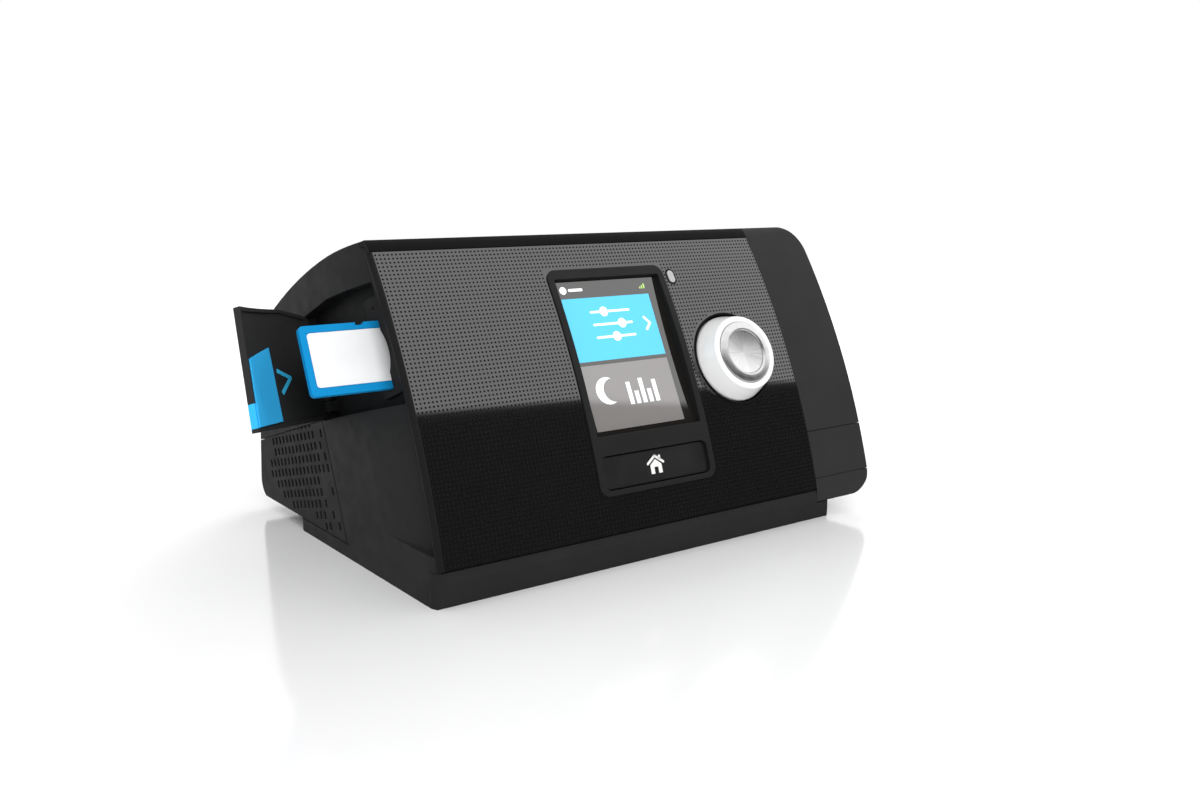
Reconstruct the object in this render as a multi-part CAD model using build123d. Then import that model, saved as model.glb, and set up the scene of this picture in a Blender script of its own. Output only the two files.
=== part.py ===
"""A bedside CPAP machine with a water tub: one function per sub-part, all sizes in millimetres.

Working frame: x from the left side, y from the base's front edge towards the back, z up from the desk.
Every part is moved at export so that the origin is the middle of the base's footprint, on the desk.
"""

import os
from math import asin, atan2, cos, degrees, radians, sin, sqrt

from build123d import *

# ---- driving dimensions -------------------------------------------------------------------------
BASE_W, BASE_D, BASE_H = 182.5, 114.0, 5.0      # base tray footprint and height
BASE_R = 6.0                                     # rounded corners of the footprint
BODY_W = BASE_W - 9.4                            # housing, left side to the tub
TUB_W = BODY_W + 31.3                            # left side to the tub's right end
TUB_GAP = 0.3                                    # seam between housing and tub
WALL = 2.4                                       # housing wall
SKIN = 2.2                                       # front panel, trim and cover thickness
CREST = 116.0                                    # overall height
FASCIA_FOOT = (-1.88, 12.58)                     # (y, z) of the front panel's bottom edge
FASCIA_TOP = (43.37, 113.18)                     # (y, z) of its top edge
FASCIA_BULGE = 5.26                              # how far its middle stands forward of the chord
FASCIA_X0 = 2.07                                 # its left edge
FLOOR = 2.2                                      # base tray floor thickness
FOOT_R, FOOT_T = 6.0, 1.2
FEET = [(14, 14), (BASE_W - 14, 14), (14, BASE_D - 14), (BASE_W - 14, BASE_D - 14)]
SCREW_R, SCREW_HEAD_R, SCREW_HEAD_T, SCREW_LEN = 1.5, 3.0, 1.6, 6.5
SCREWS = [(34, 8.5), (BASE_W - 34.5, 8.5), (86, BASE_D - 6)]
ROOF_0, ROOF_1, ROOF_2 = (46.6, 116.0), (87.6, 104.7), (BASE_D + 13.4, 86.7)
BACK_TOP, BACK_LOW = (BASE_D + 35.0, 53.9), (BASE_D + 39.3, 13.1)
BACK_FOOT_Y = BASE_D + 31.4                      # where the back's lower corner meets the underside
LIP_Y, LIP_Z0, LIP_Z1, LIP_BACK = 2.6, 9.0, 12.2, 4.0   # the base's front lip
CLEAR = 0.4                                      # gap between parts that slide past each other
PIN_CLEAR = 0.05                                 # radial clearance of a pin in its bore
SEAM = 0.3                                       # visible seam between fixed and moving covers
THROUGH = 30.0                                   # reach of a cutter that goes right through a panel

# side features, in (s, t): s forward-up across the side, t up along the tilted hinge line
SIDE_TILT = 67.0
SIDE_Y, SIDE_Z = 60.0, 53.0
WAIST_S, WAIST_R, WAIST_Z = 10.0, 131.0, 17.5    # where the waist starts, its radius, its ledge height
WAIST_DEEP = 20.0                                # deeper than anything at the left side

# front features, in (x, q, h): q up along the front panel's chord, h out of it
DIAL_X, DIAL_Q = BODY_W - 30.1, 57.4
BEZEL_X0, BEZEL_X1, BEZEL_Q0, BEZEL_Q1, BEZEL_R = DIAL_X - 75.5, DIAL_X - 21.7, 13.3, 98.6, 4.0
BEZEL_PROUD, BEZEL_DEEP = 0.5, 5.4
GLASS_W, GLASS_L, GLASS_T, GLASS_SINK, GLASS_TILT = 48.2, 60.0, 1.2, 1.6, -1.86
GLASS_Q, GLASS_H = 64.6, 3.57
LCD_T, LCD_BACK = 3.0, 0.8
RIBBON_W, RIBBON_T, RIBBON_Y = 16.0, 0.4, 6.0 - GLASS_L / 2
HOME_W, HOME_L, HOME_Q, HOME_R, HOME_SINK = 48.6, 11.8, 21.4, 2.2, 0.7
HOME_T, HOME_TRAVEL, HOME_STEM, HOME_STEM_R = 1.8, 0.6, 5.0, 1.8
WELL_R, WELL_WALL, WELL_DEEP = 18.8, 0.8, 5.2
KNOB_R, KNOB_TOP_R, KNOB_H, KNOB_SKIRT, KNOB_WALL, KNOB_EDGE_R = 17.3, 14.8, 7.8, 3.2, 1.8, 0.9
RING_R, RING_IN_R, CAP_R = 12.3, 8.6, 8.5
DIAL_SEAT = KNOB_H - 1.6                         # seat of the ring and disc in the knob
SHAFT_R, SHAFT_LEN_OUT, DIAL_TRAVEL = 3.0, 4.2, 0.8
BUSH_R, BUSH_TOP, ENC_SIDE, ENC_TOP = 4.5, -2.2, 12.6, -8.0
SENSOR_X, SENSOR_Q, SENSOR_W, SENSOR_L = BEZEL_X1 + 3.8, 93.3, 3.0, 5.2
TRIM_Q, TRIM_Y1, LIP = 109.2, 62.0, 1.8
START_X0, START_X1, START_Y0, START_Y1, START_SINK = BODY_W - 108.1, BODY_W - 62.1, 48.6, 58.0, 0.35
START_R, START_TRAVEL = 2.0, 0.6
START_STEM_X, START_STEM_Y, START_STEM_Z, START_SWITCH_Z0 = (START_X0 + START_X1) / 2, 54.5, 109.0, 99.4
SWITCH_W, SWITCH_GAP = 5.0, 0.15
BOARD_H, BOARD_T, BOARD_X0, BOARD_X1, BOARD_Q0, BOARD_Q1 = -13.75, 1.6, 9.5, BODY_W - 7.1, 18.0, 100.0
FRAME_H, FRAME_T, FRAME_BAND, BOARD_SCREW_R = 7.0, 2.0, 8.0, 1.6
MODEM_W, MODEM_L, MODEM_T, MODEM_X, MODEM_Q = 34.0, 20.0, 3.2, BOARD_X1 - 37.0, 84.0

# memory card bay
DOOR_T = 1.8
DOOR_OPEN = 47.0                                 # degrees open at rest
HINGE_X, HINGE_S, HINGE_R, HINGE_PIN_R = 2.6, -22.0, 2.0, 0.9
DOOR_LOW = [(-22.0, 5.4), (0.0, 1.9), (40.4, -4.8)]
DOOR_HIGH = [(34.6, 38.4), (1.7, 43.6), (-22.0, 44.4)]
DOOR_LIP, DOOR_RIM = 2.4, 1.3                    # depth and thickness of the door's rim
EARS = [(7.5, 11.5), (21.0, 27.0), (36.5, 40.5)] # fixed hinge ears, along the hinge line
KNUCKLES = [(12.0, 20.5), (27.5, 36.0)]          # the door's knuckles
LATCH_T, LATCH_WING_T, ARROW_T = 0.5, 1.1, 0.25  # the finger tab, its raised wing, the chevron
LATCH_S, LATCH_TOP, NOTCH_TOP = 15.6, 27.5, 4.8  # the tab's hinge side and top, the top of the rim's notch
LATCH_FOLD = [(31.9, -3.0), (34.0, 22.0)]        # the line along which the wing begins
LATCH_SLANT, LATCH_RISE = 0.32, 4.6              # how its top falls and its foot rises, edge to hinge side
BAY_DEPTH, BAY_T, BAY_LAP, BAY_RIM_X = 5.6, 1.4, 2.4, 6.5
GUIDE_S0, GUIDE_S1, GUIDE_T0, GUIDE_T1 = 22.5, 35.2, 0.5, 35.5   # the raised guide round the card's slot
GUIDE_DEPTH = DOOR_T + LATCH_WING_T + 0.4
SCOOP_R, SCOOP_DEEP, SCOOP_T = 20.0, 1.5, 16.0   # the finger scoop in the guide
PINHOLE_R, PINHOLE_DEEP, PINHOLE_S, PINHOLE_T = 0.6, 1.5, 27.5, 31.6
CARD_W, CARD_L, CARD_T = 24.0, 32.0, 2.1
CARD_OUT_X, CARD_IN_X = -23.6, 4.2               # outer end at rest, and pushed home
CARD_Q, CARD_H = 76.6, -11.6                     # middle of the card in the front panel's frame
CARD_SLACK = 0.35
SOCKET_X1 = CARD_IN_X + CARD_L + 2.4             # the card socket's inner end
BOARD_HOLES = [(14, 22.5), (BOARD_X1 - 4.5, 22.5), (SOCKET_X1 + 5, 96), (BOARD_X1 - 4.5, 96)]

# filter cover at the rear left corner
COVER_X1 = 49.5
COVER_S = -25.4                                  # its hinge line and rounded front edge
COVER_TOP = ((84.7, 48.2), (BASE_D + 39.0, 28.6))   # (y, z) of two points on its top edge
COVER_LOW_T = -7.5                               # its lower edge at the back, as a t
COVER_Z0 = 5.5                                   # its lower edge on the left side
COVER_PIN_R, COVER_PIN_LEN = 0.7, 3.0
SLOT_W, SLOT_H, SLOT_PITCH, ROW_PITCH, ROW_SLOPE = 1.7, 3.0, 3.9, 4.45, -0.165
ROWS = {1: (-38.0, -72.0), 2: (-36.4, -82.0), 3: (-36.0, -80.0), 4: (-35.2, -86.0), 5: (-32.6, -90.0),
        6: (-39.7, -86.0), 7: (-39.2, -81.0), 8: (-42.9, -72.2), 9: (-40.2, -50.0), 10: (-37.0, -41.2)}
REAR_ROWS = [13.5, 18.5, 23.5]
STRAYS = [(2, -28.3), (3, -31.0), (4, -28.6), (5, -28.2), (7, -28.2), (8, -37.0), (9, -31.9), (10, -28.3)]
ROW_T0 = 7.75                                    # t of row 1 where s is -40
FILTER = (10.0, 44.0, BASE_D + 20, BASE_D + 31, 10.0, 27.0)   # filter block, x0 x1 y0 y1 z0 z1

# water tub and its bay
BAY_X0, BAY_Y0, BAY_Y1, BAY_Z0, BAY_Z1, BAY_WALL = 93.0, 42.0, BASE_D + 28, 5.0, 64.0, 2.0
TUB_WALL = 2.0
TUB_Z0, TUB_SEAM_Z, TUB_TOP = 7.5, 35.5, 61.2
TUB_R_LOW, TUB_SHELL = 10.0, 2.2
PORT_R, PORT_Y_IN, PORT_Y_OUT, PORT_Z = 8.0, BASE_D - 44, BASE_D, 48.0
HEATER_X0, HEATER_X1, HEATER_Y0, HEATER_Y1 = 104.0, BODY_W - 9.1, 52.0, BASE_D - 6.0
HEATER_T, HEATER_TOP, TUB_FLOOR = 1.65, 8.65, 8.7
SPRING_R, SPRING_WIRE, SPRING_TURNS = 3.0, 0.3, 3
PLATE_T = 1.2
TUB_HINGE_X, TUB_PIN_Y, TUB_PIN_R, TUB_KNUCKLE_R = BODY_W + 6.9, BASE_D + 31.8, 0.9, 2.1

# blower
BLOW_X, BLOW_Y, BLOW_R, BLOW_Z0, BLOW_Z1 = 46.0, BASE_D - 22.0, 29.0, 36.0, 58.0
MUFFLER_T, MUFFLER_W = 13.0, 52.0
BLOW_SPLIT, BLOW_WALL, BLOW_INLET_R = 46.0, 2.0, 12.0
IMP_R, IMP_HUB_R, BLADES, AXLE_R = 23.0, 5.0, 9, 1.5
DUCT_X0 = 80.0
MOUNT_R, MOUNTS = 4.0, [(-20, -17), (20, -17), (-20, 9), (20, 9)]
CAN_R, CAN_WALL, MOTOR_Z0, STATOR_R, ROTOR_R = 16.0, 1.4, 12.0, 14.4, 7.0
MAGNET_Z0, MAGNET_Z1, AIR_GAP, TEETH, TOOTH_W = 17.0, 30.0, 1.0, 6, 4.0
IMP_Z0, IMP_H, IMP_DISC = 40.0, 10.0, 1.2        # impeller's underside, height and disc
BEARING_R, BEARING_H, BEARING_Z = 4.0, 2.4, [12.7, 32.9]
BLADE_R, BLADE_T, BLADE_X = 10.5, 0.8, 14.0      # blade curve: radius, thickness, centre

# air outlet and power inlet at the back
OUT_X, OUT_Z, OUT_R, OUT_NECK_R, OUT_BORE_R, OUT_Y1 = 74.0, 48.0, 11.0, 10.6, 8.65, BASE_D + 34
NICHE_X0, NICHE_X1, NICHE_Z0, NICHE_Z1, NICHE_Y, NICHE_WALL = 58.0, 90.0, 32.0, 64.0, BASE_D + 14, 2.0
PIPE_R, PIPE_IN_R, ELBOW_BEND = 8.6, 7.0, 9.0
INLET_X, INLET_Z, INLET_Y, INLET_R, INLET_BORE_R, INLET_LEN = 34.0, 48.0, BASE_D + 35.6, 5.2, 3.7, 12.0
INLET_FLANGE, INLET_END, INLET_PIN_LEN = 3.4, 3.0, 4.0   # how far in its flange sits, its blind end, its pins
INLET_PIN_R, INLET_PINS = 0.5, [(0, 0), (1.7, 1.0), (-1.7, 1.0)]

# ---- shared frames ------------------------------------------------------------------------------
CHORD = atan2(FASCIA_TOP[1] - FASCIA_FOOT[1], FASCIA_TOP[0] - FASCIA_FOOT[0])
CHORD_LEN = sqrt((FASCIA_TOP[0] - FASCIA_FOOT[0]) ** 2 + (FASCIA_TOP[1] - FASCIA_FOOT[1]) ** 2)
ARC_R = CHORD_LEN ** 2 / (8 * FASCIA_BULGE) + FASCIA_BULGE / 2
FRONT = Plane(origin=(0, *FASCIA_FOOT), x_dir=(1, 0, 0), z_dir=(0, -sin(CHORD), cos(CHORD))).location
SU = (0.0, cos(radians(SIDE_TILT)), sin(radians(SIDE_TILT)))
SN = (0.0, -sin(radians(SIDE_TILT)), cos(radians(SIDE_TILT)))


def bulge(q):
    """Height of the front panel's face over its chord at q."""
    return sqrt(ARC_R ** 2 - (q - CHORD_LEN / 2) ** 2) - (ARC_R - FASCIA_BULGE)


def on_panel(x, q):
    """A frame that lies on the front panel's face at (x, q)."""
    return FRONT * Pos(x, q, bulge(q)) * Rot(X=degrees(asin((CHORD_LEN / 2 - q) / ARC_R)))


def st(s, t):
    """(y, z) of a point given in the side's tilted frame."""
    return (SIDE_Y + s * SN[1] + t * SU[1], SIDE_Z + s * SN[2] + t * SU[2])


def waist(s):
    """How far the left side is drawn in at s."""
    return max(0.0, s - WAIST_S) ** 2 / (2 * WAIST_R)


DIAL = FRONT * Pos(DIAL_X, DIAL_Q, bulge(DIAL_Q))
GLASS = FRONT * Pos((BEZEL_X0 + BEZEL_X1) / 2, GLASS_Q, GLASS_H - GLASS_SINK) * Rot(X=GLASS_TILT)
HOME = on_panel((BEZEL_X0 + BEZEL_X1) / 2, HOME_Q) * Pos(0, 0, -HOME_SINK)
SENSOR = on_panel(SENSOR_X, SENSOR_Q)
SIDE = Plane(origin=(0, SIDE_Y, SIDE_Z), x_dir=SN, z_dir=SU).location
HINGE_LINE = SIDE * Pos(HINGE_S, HINGE_X, 0)
INLET = Pos(INLET_X, INLET_Y, INLET_Z) * Rot(X=-90)
OUTLET = Pos(OUT_X, OUT_Y1, OUT_Z) * Rot(X=-90)
BLOW = Pos(BLOW_X, BLOW_Y, 0)
COVER_AXIS = SIDE * Pos(COVER_S, SKIN / 2, 0)
TUB_HINGE = Pos(TUB_HINGE_X, TUB_PIN_Y, TUB_SEAM_Z) * Rot(Y=90)


# ---- helpers ------------------------------------------------------------------------------------
def box(x0, x1, y0, y1, z0, z1):
    """A box from its six faces."""
    return Pos((x0 + x1) / 2, (y0 + y1) / 2, (z0 + z1) / 2) * Box(x1 - x0, y1 - y0, z1 - z0)


def prism(points, x0, x1):
    """A polygon of (y, z) points drawn out along x."""
    face = make_face(Plane.YZ * Polyline(*points, close=True))
    return Pos(x0, 0, 0) * extrude(face, amount=x1 - x0, dir=(1, 0, 0))


def slab(x0, x1, q0, q1, h0, h1, r=0.0):
    """A block in the front panel's frame, with rounded corners when r is given."""
    shape = RectangleRounded(x1 - x0, q1 - q0, r) if r else Rectangle(x1 - x0, q1 - q0)
    return FRONT * Pos((x0 + x1) / 2, (q0 + q1) / 2, h0) * extrude(shape, amount=h1 - h0)


def rod(where, r, h0, h1):
    """A cylinder along a frame's z axis from h0 to h1."""
    return where * Pos(0, 0, (h0 + h1) / 2) * Cylinder(r, h1 - h0)


def tube(where, r, r_in, h0, h1):
    """A round tube along a frame's z axis."""
    return rod(where, r, h0, h1) - rod(where, r_in, h0 - 1, h1 + 1)


def across(x0, x1, y, z, r):
    """A cylinder along x."""
    return rod(Pos(x0, y, z) * Rot(Y=90), r, 0, x1 - x0)


def outline(off=0.0):
    """The side silhouette as a face at x = 0, grown by off."""
    a, b = FASCIA_FOOT, FASCIA_TOP
    nx, nz = -sin(CHORD), cos(CHORD)
    mid = ((a[0] + b[0]) / 2 + nx * FASCIA_BULGE, (a[1] + b[1]) / 2 + nz * FASCIA_BULGE)
    front = ThreePointArc(a, mid, b)
    crest = TangentArc(b, ROOF_0, tangent=front % 1)
    roof = ThreePointArc(ROOF_0, ROOF_1, ROOF_2)
    back = TangentArc(ROOF_2, BACK_TOP, tangent=roof % 1)
    low = Line(BACK_TOP, BACK_LOW)
    heel = TangentArc(BACK_LOW, (BACK_FOOT_Y, BASE_H), tangent=low % 1)
    foot = Line((BACK_FOOT_Y, BASE_H), (a[0], BASE_H))
    face = make_face(Plane.YZ * Curve([front, crest, roof, back, low, heel, foot, Line((a[0], BASE_H), a)]))
    return offset(face, amount=off) if off else face


def silhouette(x0, x1, off=0.0):
    """The side silhouette drawn out along x."""
    return Pos(x0, 0, 0) * extrude(outline(off), amount=x1 - x0, dir=(1, 0, 0))


def waist_cutter(inset):
    """What the waist takes off the left side, moved in by inset."""
    s1 = 70.0
    mid = (WAIST_S + s1) / 2
    line = [(WAIST_S, inset), (mid, waist(mid) + inset), (s1, waist(s1) + inset)]
    arc = ThreePointArc(*line)
    rest = Polyline((s1, line[2][1]), (s1, -9), (WAIST_S, -9), (WAIST_S, inset))
    cutter = extrude(SIDE * make_face(Curve([arc, rest])), amount=90, both=True)
    return cutter & box(-20, 60, -60, 200, WAIST_Z - inset, 200)


def front_region(q0, q1, deep=9.0):
    """Everything near the front panel between q0 and q1."""
    return slab(-10, TUB_W + 10, q0, q1, -deep, 30)


def layer(d0, d1, x0, x1):
    """The skin of the side silhouette between depths d0 and d1, from x0 to x1."""
    return silhouette(x0, x1, -d0) - silhouette(x0 - 1, x1 + 1, -d1)


def door_outline(grow, hinge_grow=None):
    """The card door's closed outline as (y, z) points, grown by grow; the hinge edge by hinge_grow."""
    back = grow if hinge_grow is None else hinge_grow
    low = [(s, t - grow) for s, t in DOOR_LOW]
    high = [(s, t + grow) for s, t in DOOR_HIGH]
    low[0] = (low[0][0] - back, low[0][1])
    high[-1] = (high[-1][0] - back, high[-1][1])
    low[-1] = (low[-1][0] + grow, low[-1][1])
    high[0] = (high[0][0] + grow, high[0][1])
    return [st(s, t) for s, t in low + high]


def cover_region(s_front, grow):
    """What lies behind a front edge at s_front and under the cover's top edge, as (y, z) points."""
    (y0, z0), (y1, z1) = COVER_TOP
    slope = (z1 - z0) / (y1 - y0)
    low, y2 = st(s_front, -60), y1 + 40
    t_hit = (z0 + grow + slope * (st(s_front, 0)[0] - y0) - st(s_front, 0)[1]) / (SU[2] - slope * SU[1])
    return [st(s_front, t_hit), low, (y2, low[1]), (y2, z0 + grow + slope * (y2 - y0))]


def cover_room(s_front, grow):
    """The room of the filter cover, which wraps the rear left corner and dips as it opens."""
    low = COVER_LOW_T - grow
    below = [st(60, low), st(60, low - 90), st(-160, low - 90), st(-160, low)]
    heel = prism(below, SKIN + grow, COVER_X1 + 9)
    room = prism(cover_region(s_front, grow), -5, COVER_X1 + grow) - heel
    return room & box(-5, 90, 0, 250, COVER_Z0 - 2 * grow, CREST)


def body_block(off=0.0):
    """The housing as one solid block, shrunk by off."""
    block = silhouette(off, BODY_W - off, -off)
    if not off:
        foot = Pos(BASE_W / 2, 100 - LIP_Y, 0) * RectangleRounded(BASE_W, 200, BASE_R)
        block = block & extrude(foot, amount=CREST + 10)
    return block - waist_cutter(off)


def skin(d0, d1):
    """The housing's skin between depths d0 and d1, its left end and waist included."""
    return body_block(d0) - body_block(d1)


def side_skin(d0, d1, outline_points):
    """The left side's skin between depths d0 and d1 inside an outline; the waist is followed."""
    inner = prism(outline_points, d1, WAIST_DEEP) - waist_cutter(d1)
    return (prism(outline_points, d0, WAIST_DEEP) - waist_cutter(d0)) - inner


def each(parts):
    """Several solids as one node."""
    return Compound(list(parts))


# ---- base ---------------------------------------------------------------------------------------
def base_lip(grow=0.0):
    """The base's front lip under the front panel."""
    points = [(0, 0), (-LIP_Y, LIP_Z0), (-LIP_Y / 2, LIP_Z1 + grow), (LIP_BACK + grow, LIP_Z1 + grow)]
    return prism(points + [(LIP_BACK + grow, 0)], 0, BASE_W)


def base_tray():
    """The wide foot with its stepped front edge, hollow, with its screw bosses."""
    plan = Pos(BASE_W / 2, BASE_D / 2, 0) * RectangleRounded(BASE_W, BASE_D, BASE_R)
    hollow = Pos(BASE_W / 2, BASE_D / 2, FLOOR) * RectangleRounded(
        BASE_W - 2 * WALL, BASE_D - 2 * WALL, BASE_R - WALL)
    tray = extrude(plan, amount=BASE_H) - extrude(hollow, amount=BASE_H)
    lip_plan = Pos(BASE_W / 2, 20 - LIP_Y, 0) * RectangleRounded(BASE_W, 40, BASE_R)
    lip = base_lip() & extrude(lip_plan, amount=LIP_Z1 + 1)
    tray = tray + (lip - box(BODY_W, BASE_W + 1, -5, 5, TUB_Z0 - CLEAR, 20))
    for x, y in SCREWS:
        tray = tray + rod(Pos(x, y, 0), SCREW_HEAD_R + 1, FLOOR - 0.1, BASE_H)
    for x, y in FEET:
        tray = tray - rod(Pos(x, y, 0), FOOT_R + PIN_CLEAR, -1, FOOT_T)
    for x, y in SCREWS:
        tray = tray - rod(Pos(x, y, 0), SCREW_HEAD_R + 0.1, -1, SCREW_HEAD_T)
        tray = tray - rod(Pos(x, y, 0), SCREW_R + 0.1, -1, BASE_H + 1)
    return tray - cover_pins(PIN_CLEAR)


def rubber_feet():
    """Four soft feet under the base."""
    return each(rod(Pos(x, y, 0), FOOT_R, 0, FOOT_T) for x, y in FEET)


def base_screws():
    """The screws that hold the base to the housing."""
    def screw(x, y):
        head = rod(Pos(x, y, 0), SCREW_HEAD_R, 0.4, SCREW_HEAD_T) - Pos(x, y, 0.5) * Box(0.8, 3.6, 1.0)
        return head + rod(Pos(x, y, 0), SCREW_R, SCREW_HEAD_T, SCREW_LEN)
    return each(screw(x, y) for x, y in SCREWS)


# ---- housing ------------------------------------------------------------------------------------
def front_zone(grow=0.0):
    """The zone the front panel and the roof trim take up."""
    return front_region(-1, TRIM_Q + 0.1) + box(-10, BODY_W + 10, 20, TRIM_Y1 + grow, 101, 140)


def start_hole(grow, z0=90.0, z1=130.0):
    """The start button's outline drawn up through the roof."""
    w, d = START_X1 - START_X0 + 2 * grow, START_Y1 - START_Y0 + 2 * grow
    plan = Pos((START_X0 + START_X1) / 2, (START_Y0 + START_Y1) / 2, z0) * RectangleRounded(w, d, START_R)
    return extrude(plan, amount=z1 - z0)


def outlet_niche():
    """The recess the air outlet stands in, cut off at the housing's outer face."""
    w = NICHE_WALL
    out = box(NICHE_X0 - w, NICHE_X1 + w, NICHE_Y - w, 170, NICHE_Z0 - w, NICHE_Z1 + w)
    out = out - rod(OUTLET, OUT_NECK_R + PIN_CLEAR, NICHE_Y - OUT_Y1 - 9, NICHE_Y - OUT_Y1 + 1)
    hollow = box(NICHE_X0, NICHE_X1, NICHE_Y, 180, NICHE_Z0, NICHE_Z1)
    return (out - hollow) & silhouette(NICHE_X0 - 5, NICHE_X1 + 5)


def floor_well():
    """The opening in the housing's floor, over the base tray."""
    return box(WALL, BODY_W - WALL, LIP_BACK + 1, BASE_D - WALL, 0, BASE_H + WALL + 0.1)


def housing_shell():
    """The body shell: silhouette, convex left end, waist ledge and all its openings."""
    shell = skin(0, WALL)
    shell = shell - (layer(-4, SKIN, FASCIA_X0, BODY_W + 1) & front_zone())
    shell = shell - (layer(1, WALL + 0.6, 7.4, BODY_W - WALL) & front_zone())
    lip = layer(SKIN, SKIN + LIP, 6.8, BODY_W - 2.3) & front_zone(4)
    lip = lip - slab(13, BODY_W - 8, 8, 100.5, -THROUGH, THROUGH) - start_hole(2.2)
    shell = shell + (lip - box(-5, 14, -5, LIP_BACK, 0, LIP_Z1 + 1))
    posts = rod(Pos(*SCREWS[0], 0), SCREW_HEAD_R, BASE_H, 16)
    posts = posts + rod(Pos(*SCREWS[1], 0), SCREW_HEAD_R, BASE_H, 16)
    bar = box(COVER_X1 + SEAM, BAY_X0, BASE_D - WALL - 6, BASE_D + 1, BASE_H, BASE_H + WALL)
    shell = shell - box(-5, BASE_W, -5, LIP_BACK + 0.1, 0, LIP_Z1 + 0.1) - floor_well() + posts + bar
    shell = shell - prism(door_outline(SEAM, HINGE_R + 0.4), -1, 9.5)
    shell = shell - cover_room(COVER_S + SKIN / 2 + SEAM, SEAM) - cover_pins(PIN_CLEAR)
    shell = shell - box(BAY_X0, BODY_W + 1, BAY_Y0, BAY_Y1, BAY_Z0 - 1, BAY_Z1)
    hole = box(NICHE_X0, NICHE_X1, NICHE_Y, 180, NICHE_Z0, NICHE_Z1)
    shell = (shell - hole) + outlet_niche()
    for x, y in SCREWS:
        shell = shell - rod(Pos(x, y, 0), SCREW_R, 0, SCREW_LEN + 1)
    return shell - rod(INLET, INLET_R + PIN_CLEAR, -INLET_LEN, 9)


# ---- front panel --------------------------------------------------------------------------------
def front_fascia():
    """The bulged front panel with its cut-outs for screen, home key, dial and light sensor."""
    panel = layer(0, SKIN, FASCIA_X0, BODY_W) & front_region(0.3, TRIM_Q - SEAM / 2)
    panel = panel - slab(BEZEL_X0, BEZEL_X1, BEZEL_Q0, BEZEL_Q1, -THROUGH, THROUGH, BEZEL_R)
    panel = panel - rod(DIAL, WELL_R, -20, 20)
    return panel - sensor_shape(0, -20, 20) - box(-5, BASE_W, -10, 20, 0, LIP_Z1 + SEAM / 2)


def sensor_shape(grow, h0, h1):
    """The light sensor's oval window."""
    oval = Rot(Z=90) * SlotOverall(SENSOR_L + 2 * grow, SENSOR_W + 2 * grow)
    return SENSOR * Pos(0, 0, h0) * extrude(oval, amount=h1 - h0)


def light_sensor_lens():
    """The oval lens at the panel's top right."""
    return sensor_shape(0, -SKIN - 0.8, 0.25) + sensor_shape(1.2, -SKIN - 1.4, -SKIN - 0.1)


def top_trim():
    """The strip between the front panel's top edge and the roof."""
    trim = layer(0, SKIN, FASCIA_X0, BODY_W) & front_zone(-0.1)
    return trim - front_region(-5, TRIM_Q + SEAM / 2, 60) - start_hole(0.3)


def start_button():
    """The long key set in the roof."""
    cap = layer(START_SINK, SKIN, START_X0 - 3, START_X1 + 3) & start_hole(0)
    flange = layer(SKIN + 0.25, SKIN + 1.05, START_X0 - 3, START_X1 + 3) & start_hole(1.0)
    core = layer(START_SINK, SKIN + 1.05, START_X0 - 3, START_X1 + 3) & start_hole(0)
    stem = rod(Pos(START_STEM_X, START_STEM_Y, 0), 1.5, START_STEM_Z, START_STEM_Z + 3.4)
    return cap + core + flange + stem


def key_switches():
    """The switches under the start and home buttons."""
    x, y, w = START_STEM_X, START_STEM_Y, SWITCH_W / 2
    start = box(x - w, x + w, y - w, y + w, START_SWITCH_Z0, START_STEM_Z - START_TRAVEL - SWITCH_GAP)
    top = bulge(HOME_Q) - HOME_SINK - HOME_STEM - HOME_TRAVEL - SWITCH_GAP - 0.2
    x = (BEZEL_X0 + BEZEL_X1) / 2
    return each([start, slab(x - w, x + w, HOME_Q - w, HOME_Q + w, BOARD_H, top)])


# ---- display ------------------------------------------------------------------------------------
def display_bezel():
    """The frame round the screen and the home key, bevelled towards the window."""
    frame = layer(-BEZEL_PROUD, BEZEL_DEEP, BEZEL_X0 - 5, BEZEL_X1 + 5)
    frame = frame & slab(BEZEL_X0, BEZEL_X1, BEZEL_Q0, BEZEL_Q1, -THROUGH, THROUGH, BEZEL_R)
    frame = frame - GLASS * Pos(0, 0, 10 - GLASS_T) * Box(GLASS_W + 0.1, GLASS_L + 0.1, 20)
    frame = frame - GLASS * Pos(0, 0, -10) * Box(GLASS_W - 3, GLASS_L - 3, 20 + 2 * GLASS_T)
    pocket = HOME * Pos(0, 0, -HOME_T - HOME_TRAVEL - 0.4) * extrude(
        RectangleRounded(HOME_W + 0.6, HOME_L + 0.6, HOME_R + 0.3), amount=20)
    return frame - pocket - rod(HOME, HOME_STEM_R + CLEAR, -20, 0)


def display_glass():
    """The clear window over the screen."""
    return GLASS * Pos(0, 0, -GLASS_T / 2) * Box(GLASS_W, GLASS_L, GLASS_T)


def lcd_module():
    """The screen module behind the window."""
    panel = GLASS * Pos(0, 0, -GLASS_T - LCD_T / 2) * Box(GLASS_W - 3.4, GLASS_L - 3.4, LCD_T)
    back = GLASS * Pos(0, 0, -GLASS_T - LCD_T - LCD_BACK / 2) * Box(GLASS_W - 6, GLASS_L - 6, LCD_BACK)
    return panel + back


def home_button():
    """The square key under the screen."""
    key = Pos(0, 0, -HOME_T) * extrude(RectangleRounded(HOME_W, HOME_L, HOME_R), amount=HOME_T)
    key = fillet(key.faces().sort_by(Axis.Z)[-1].edges(), 0.4)
    return HOME * key + rod(HOME, HOME_STEM_R, -HOME_STEM, -HOME_T + 0.1)


# ---- dial ---------------------------------------------------------------------------------------
def dial_well():
    """The dark cup that the dial turns in."""
    cup = rod(DIAL, WELL_R - 0.05, -WELL_DEEP - WELL_WALL, 0.2)
    cup = cup - rod(DIAL, WELL_R - WELL_WALL, -WELL_DEEP, 5)
    return cup - rod(DIAL, BUSH_R + 0.05, -20, 5)


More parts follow.
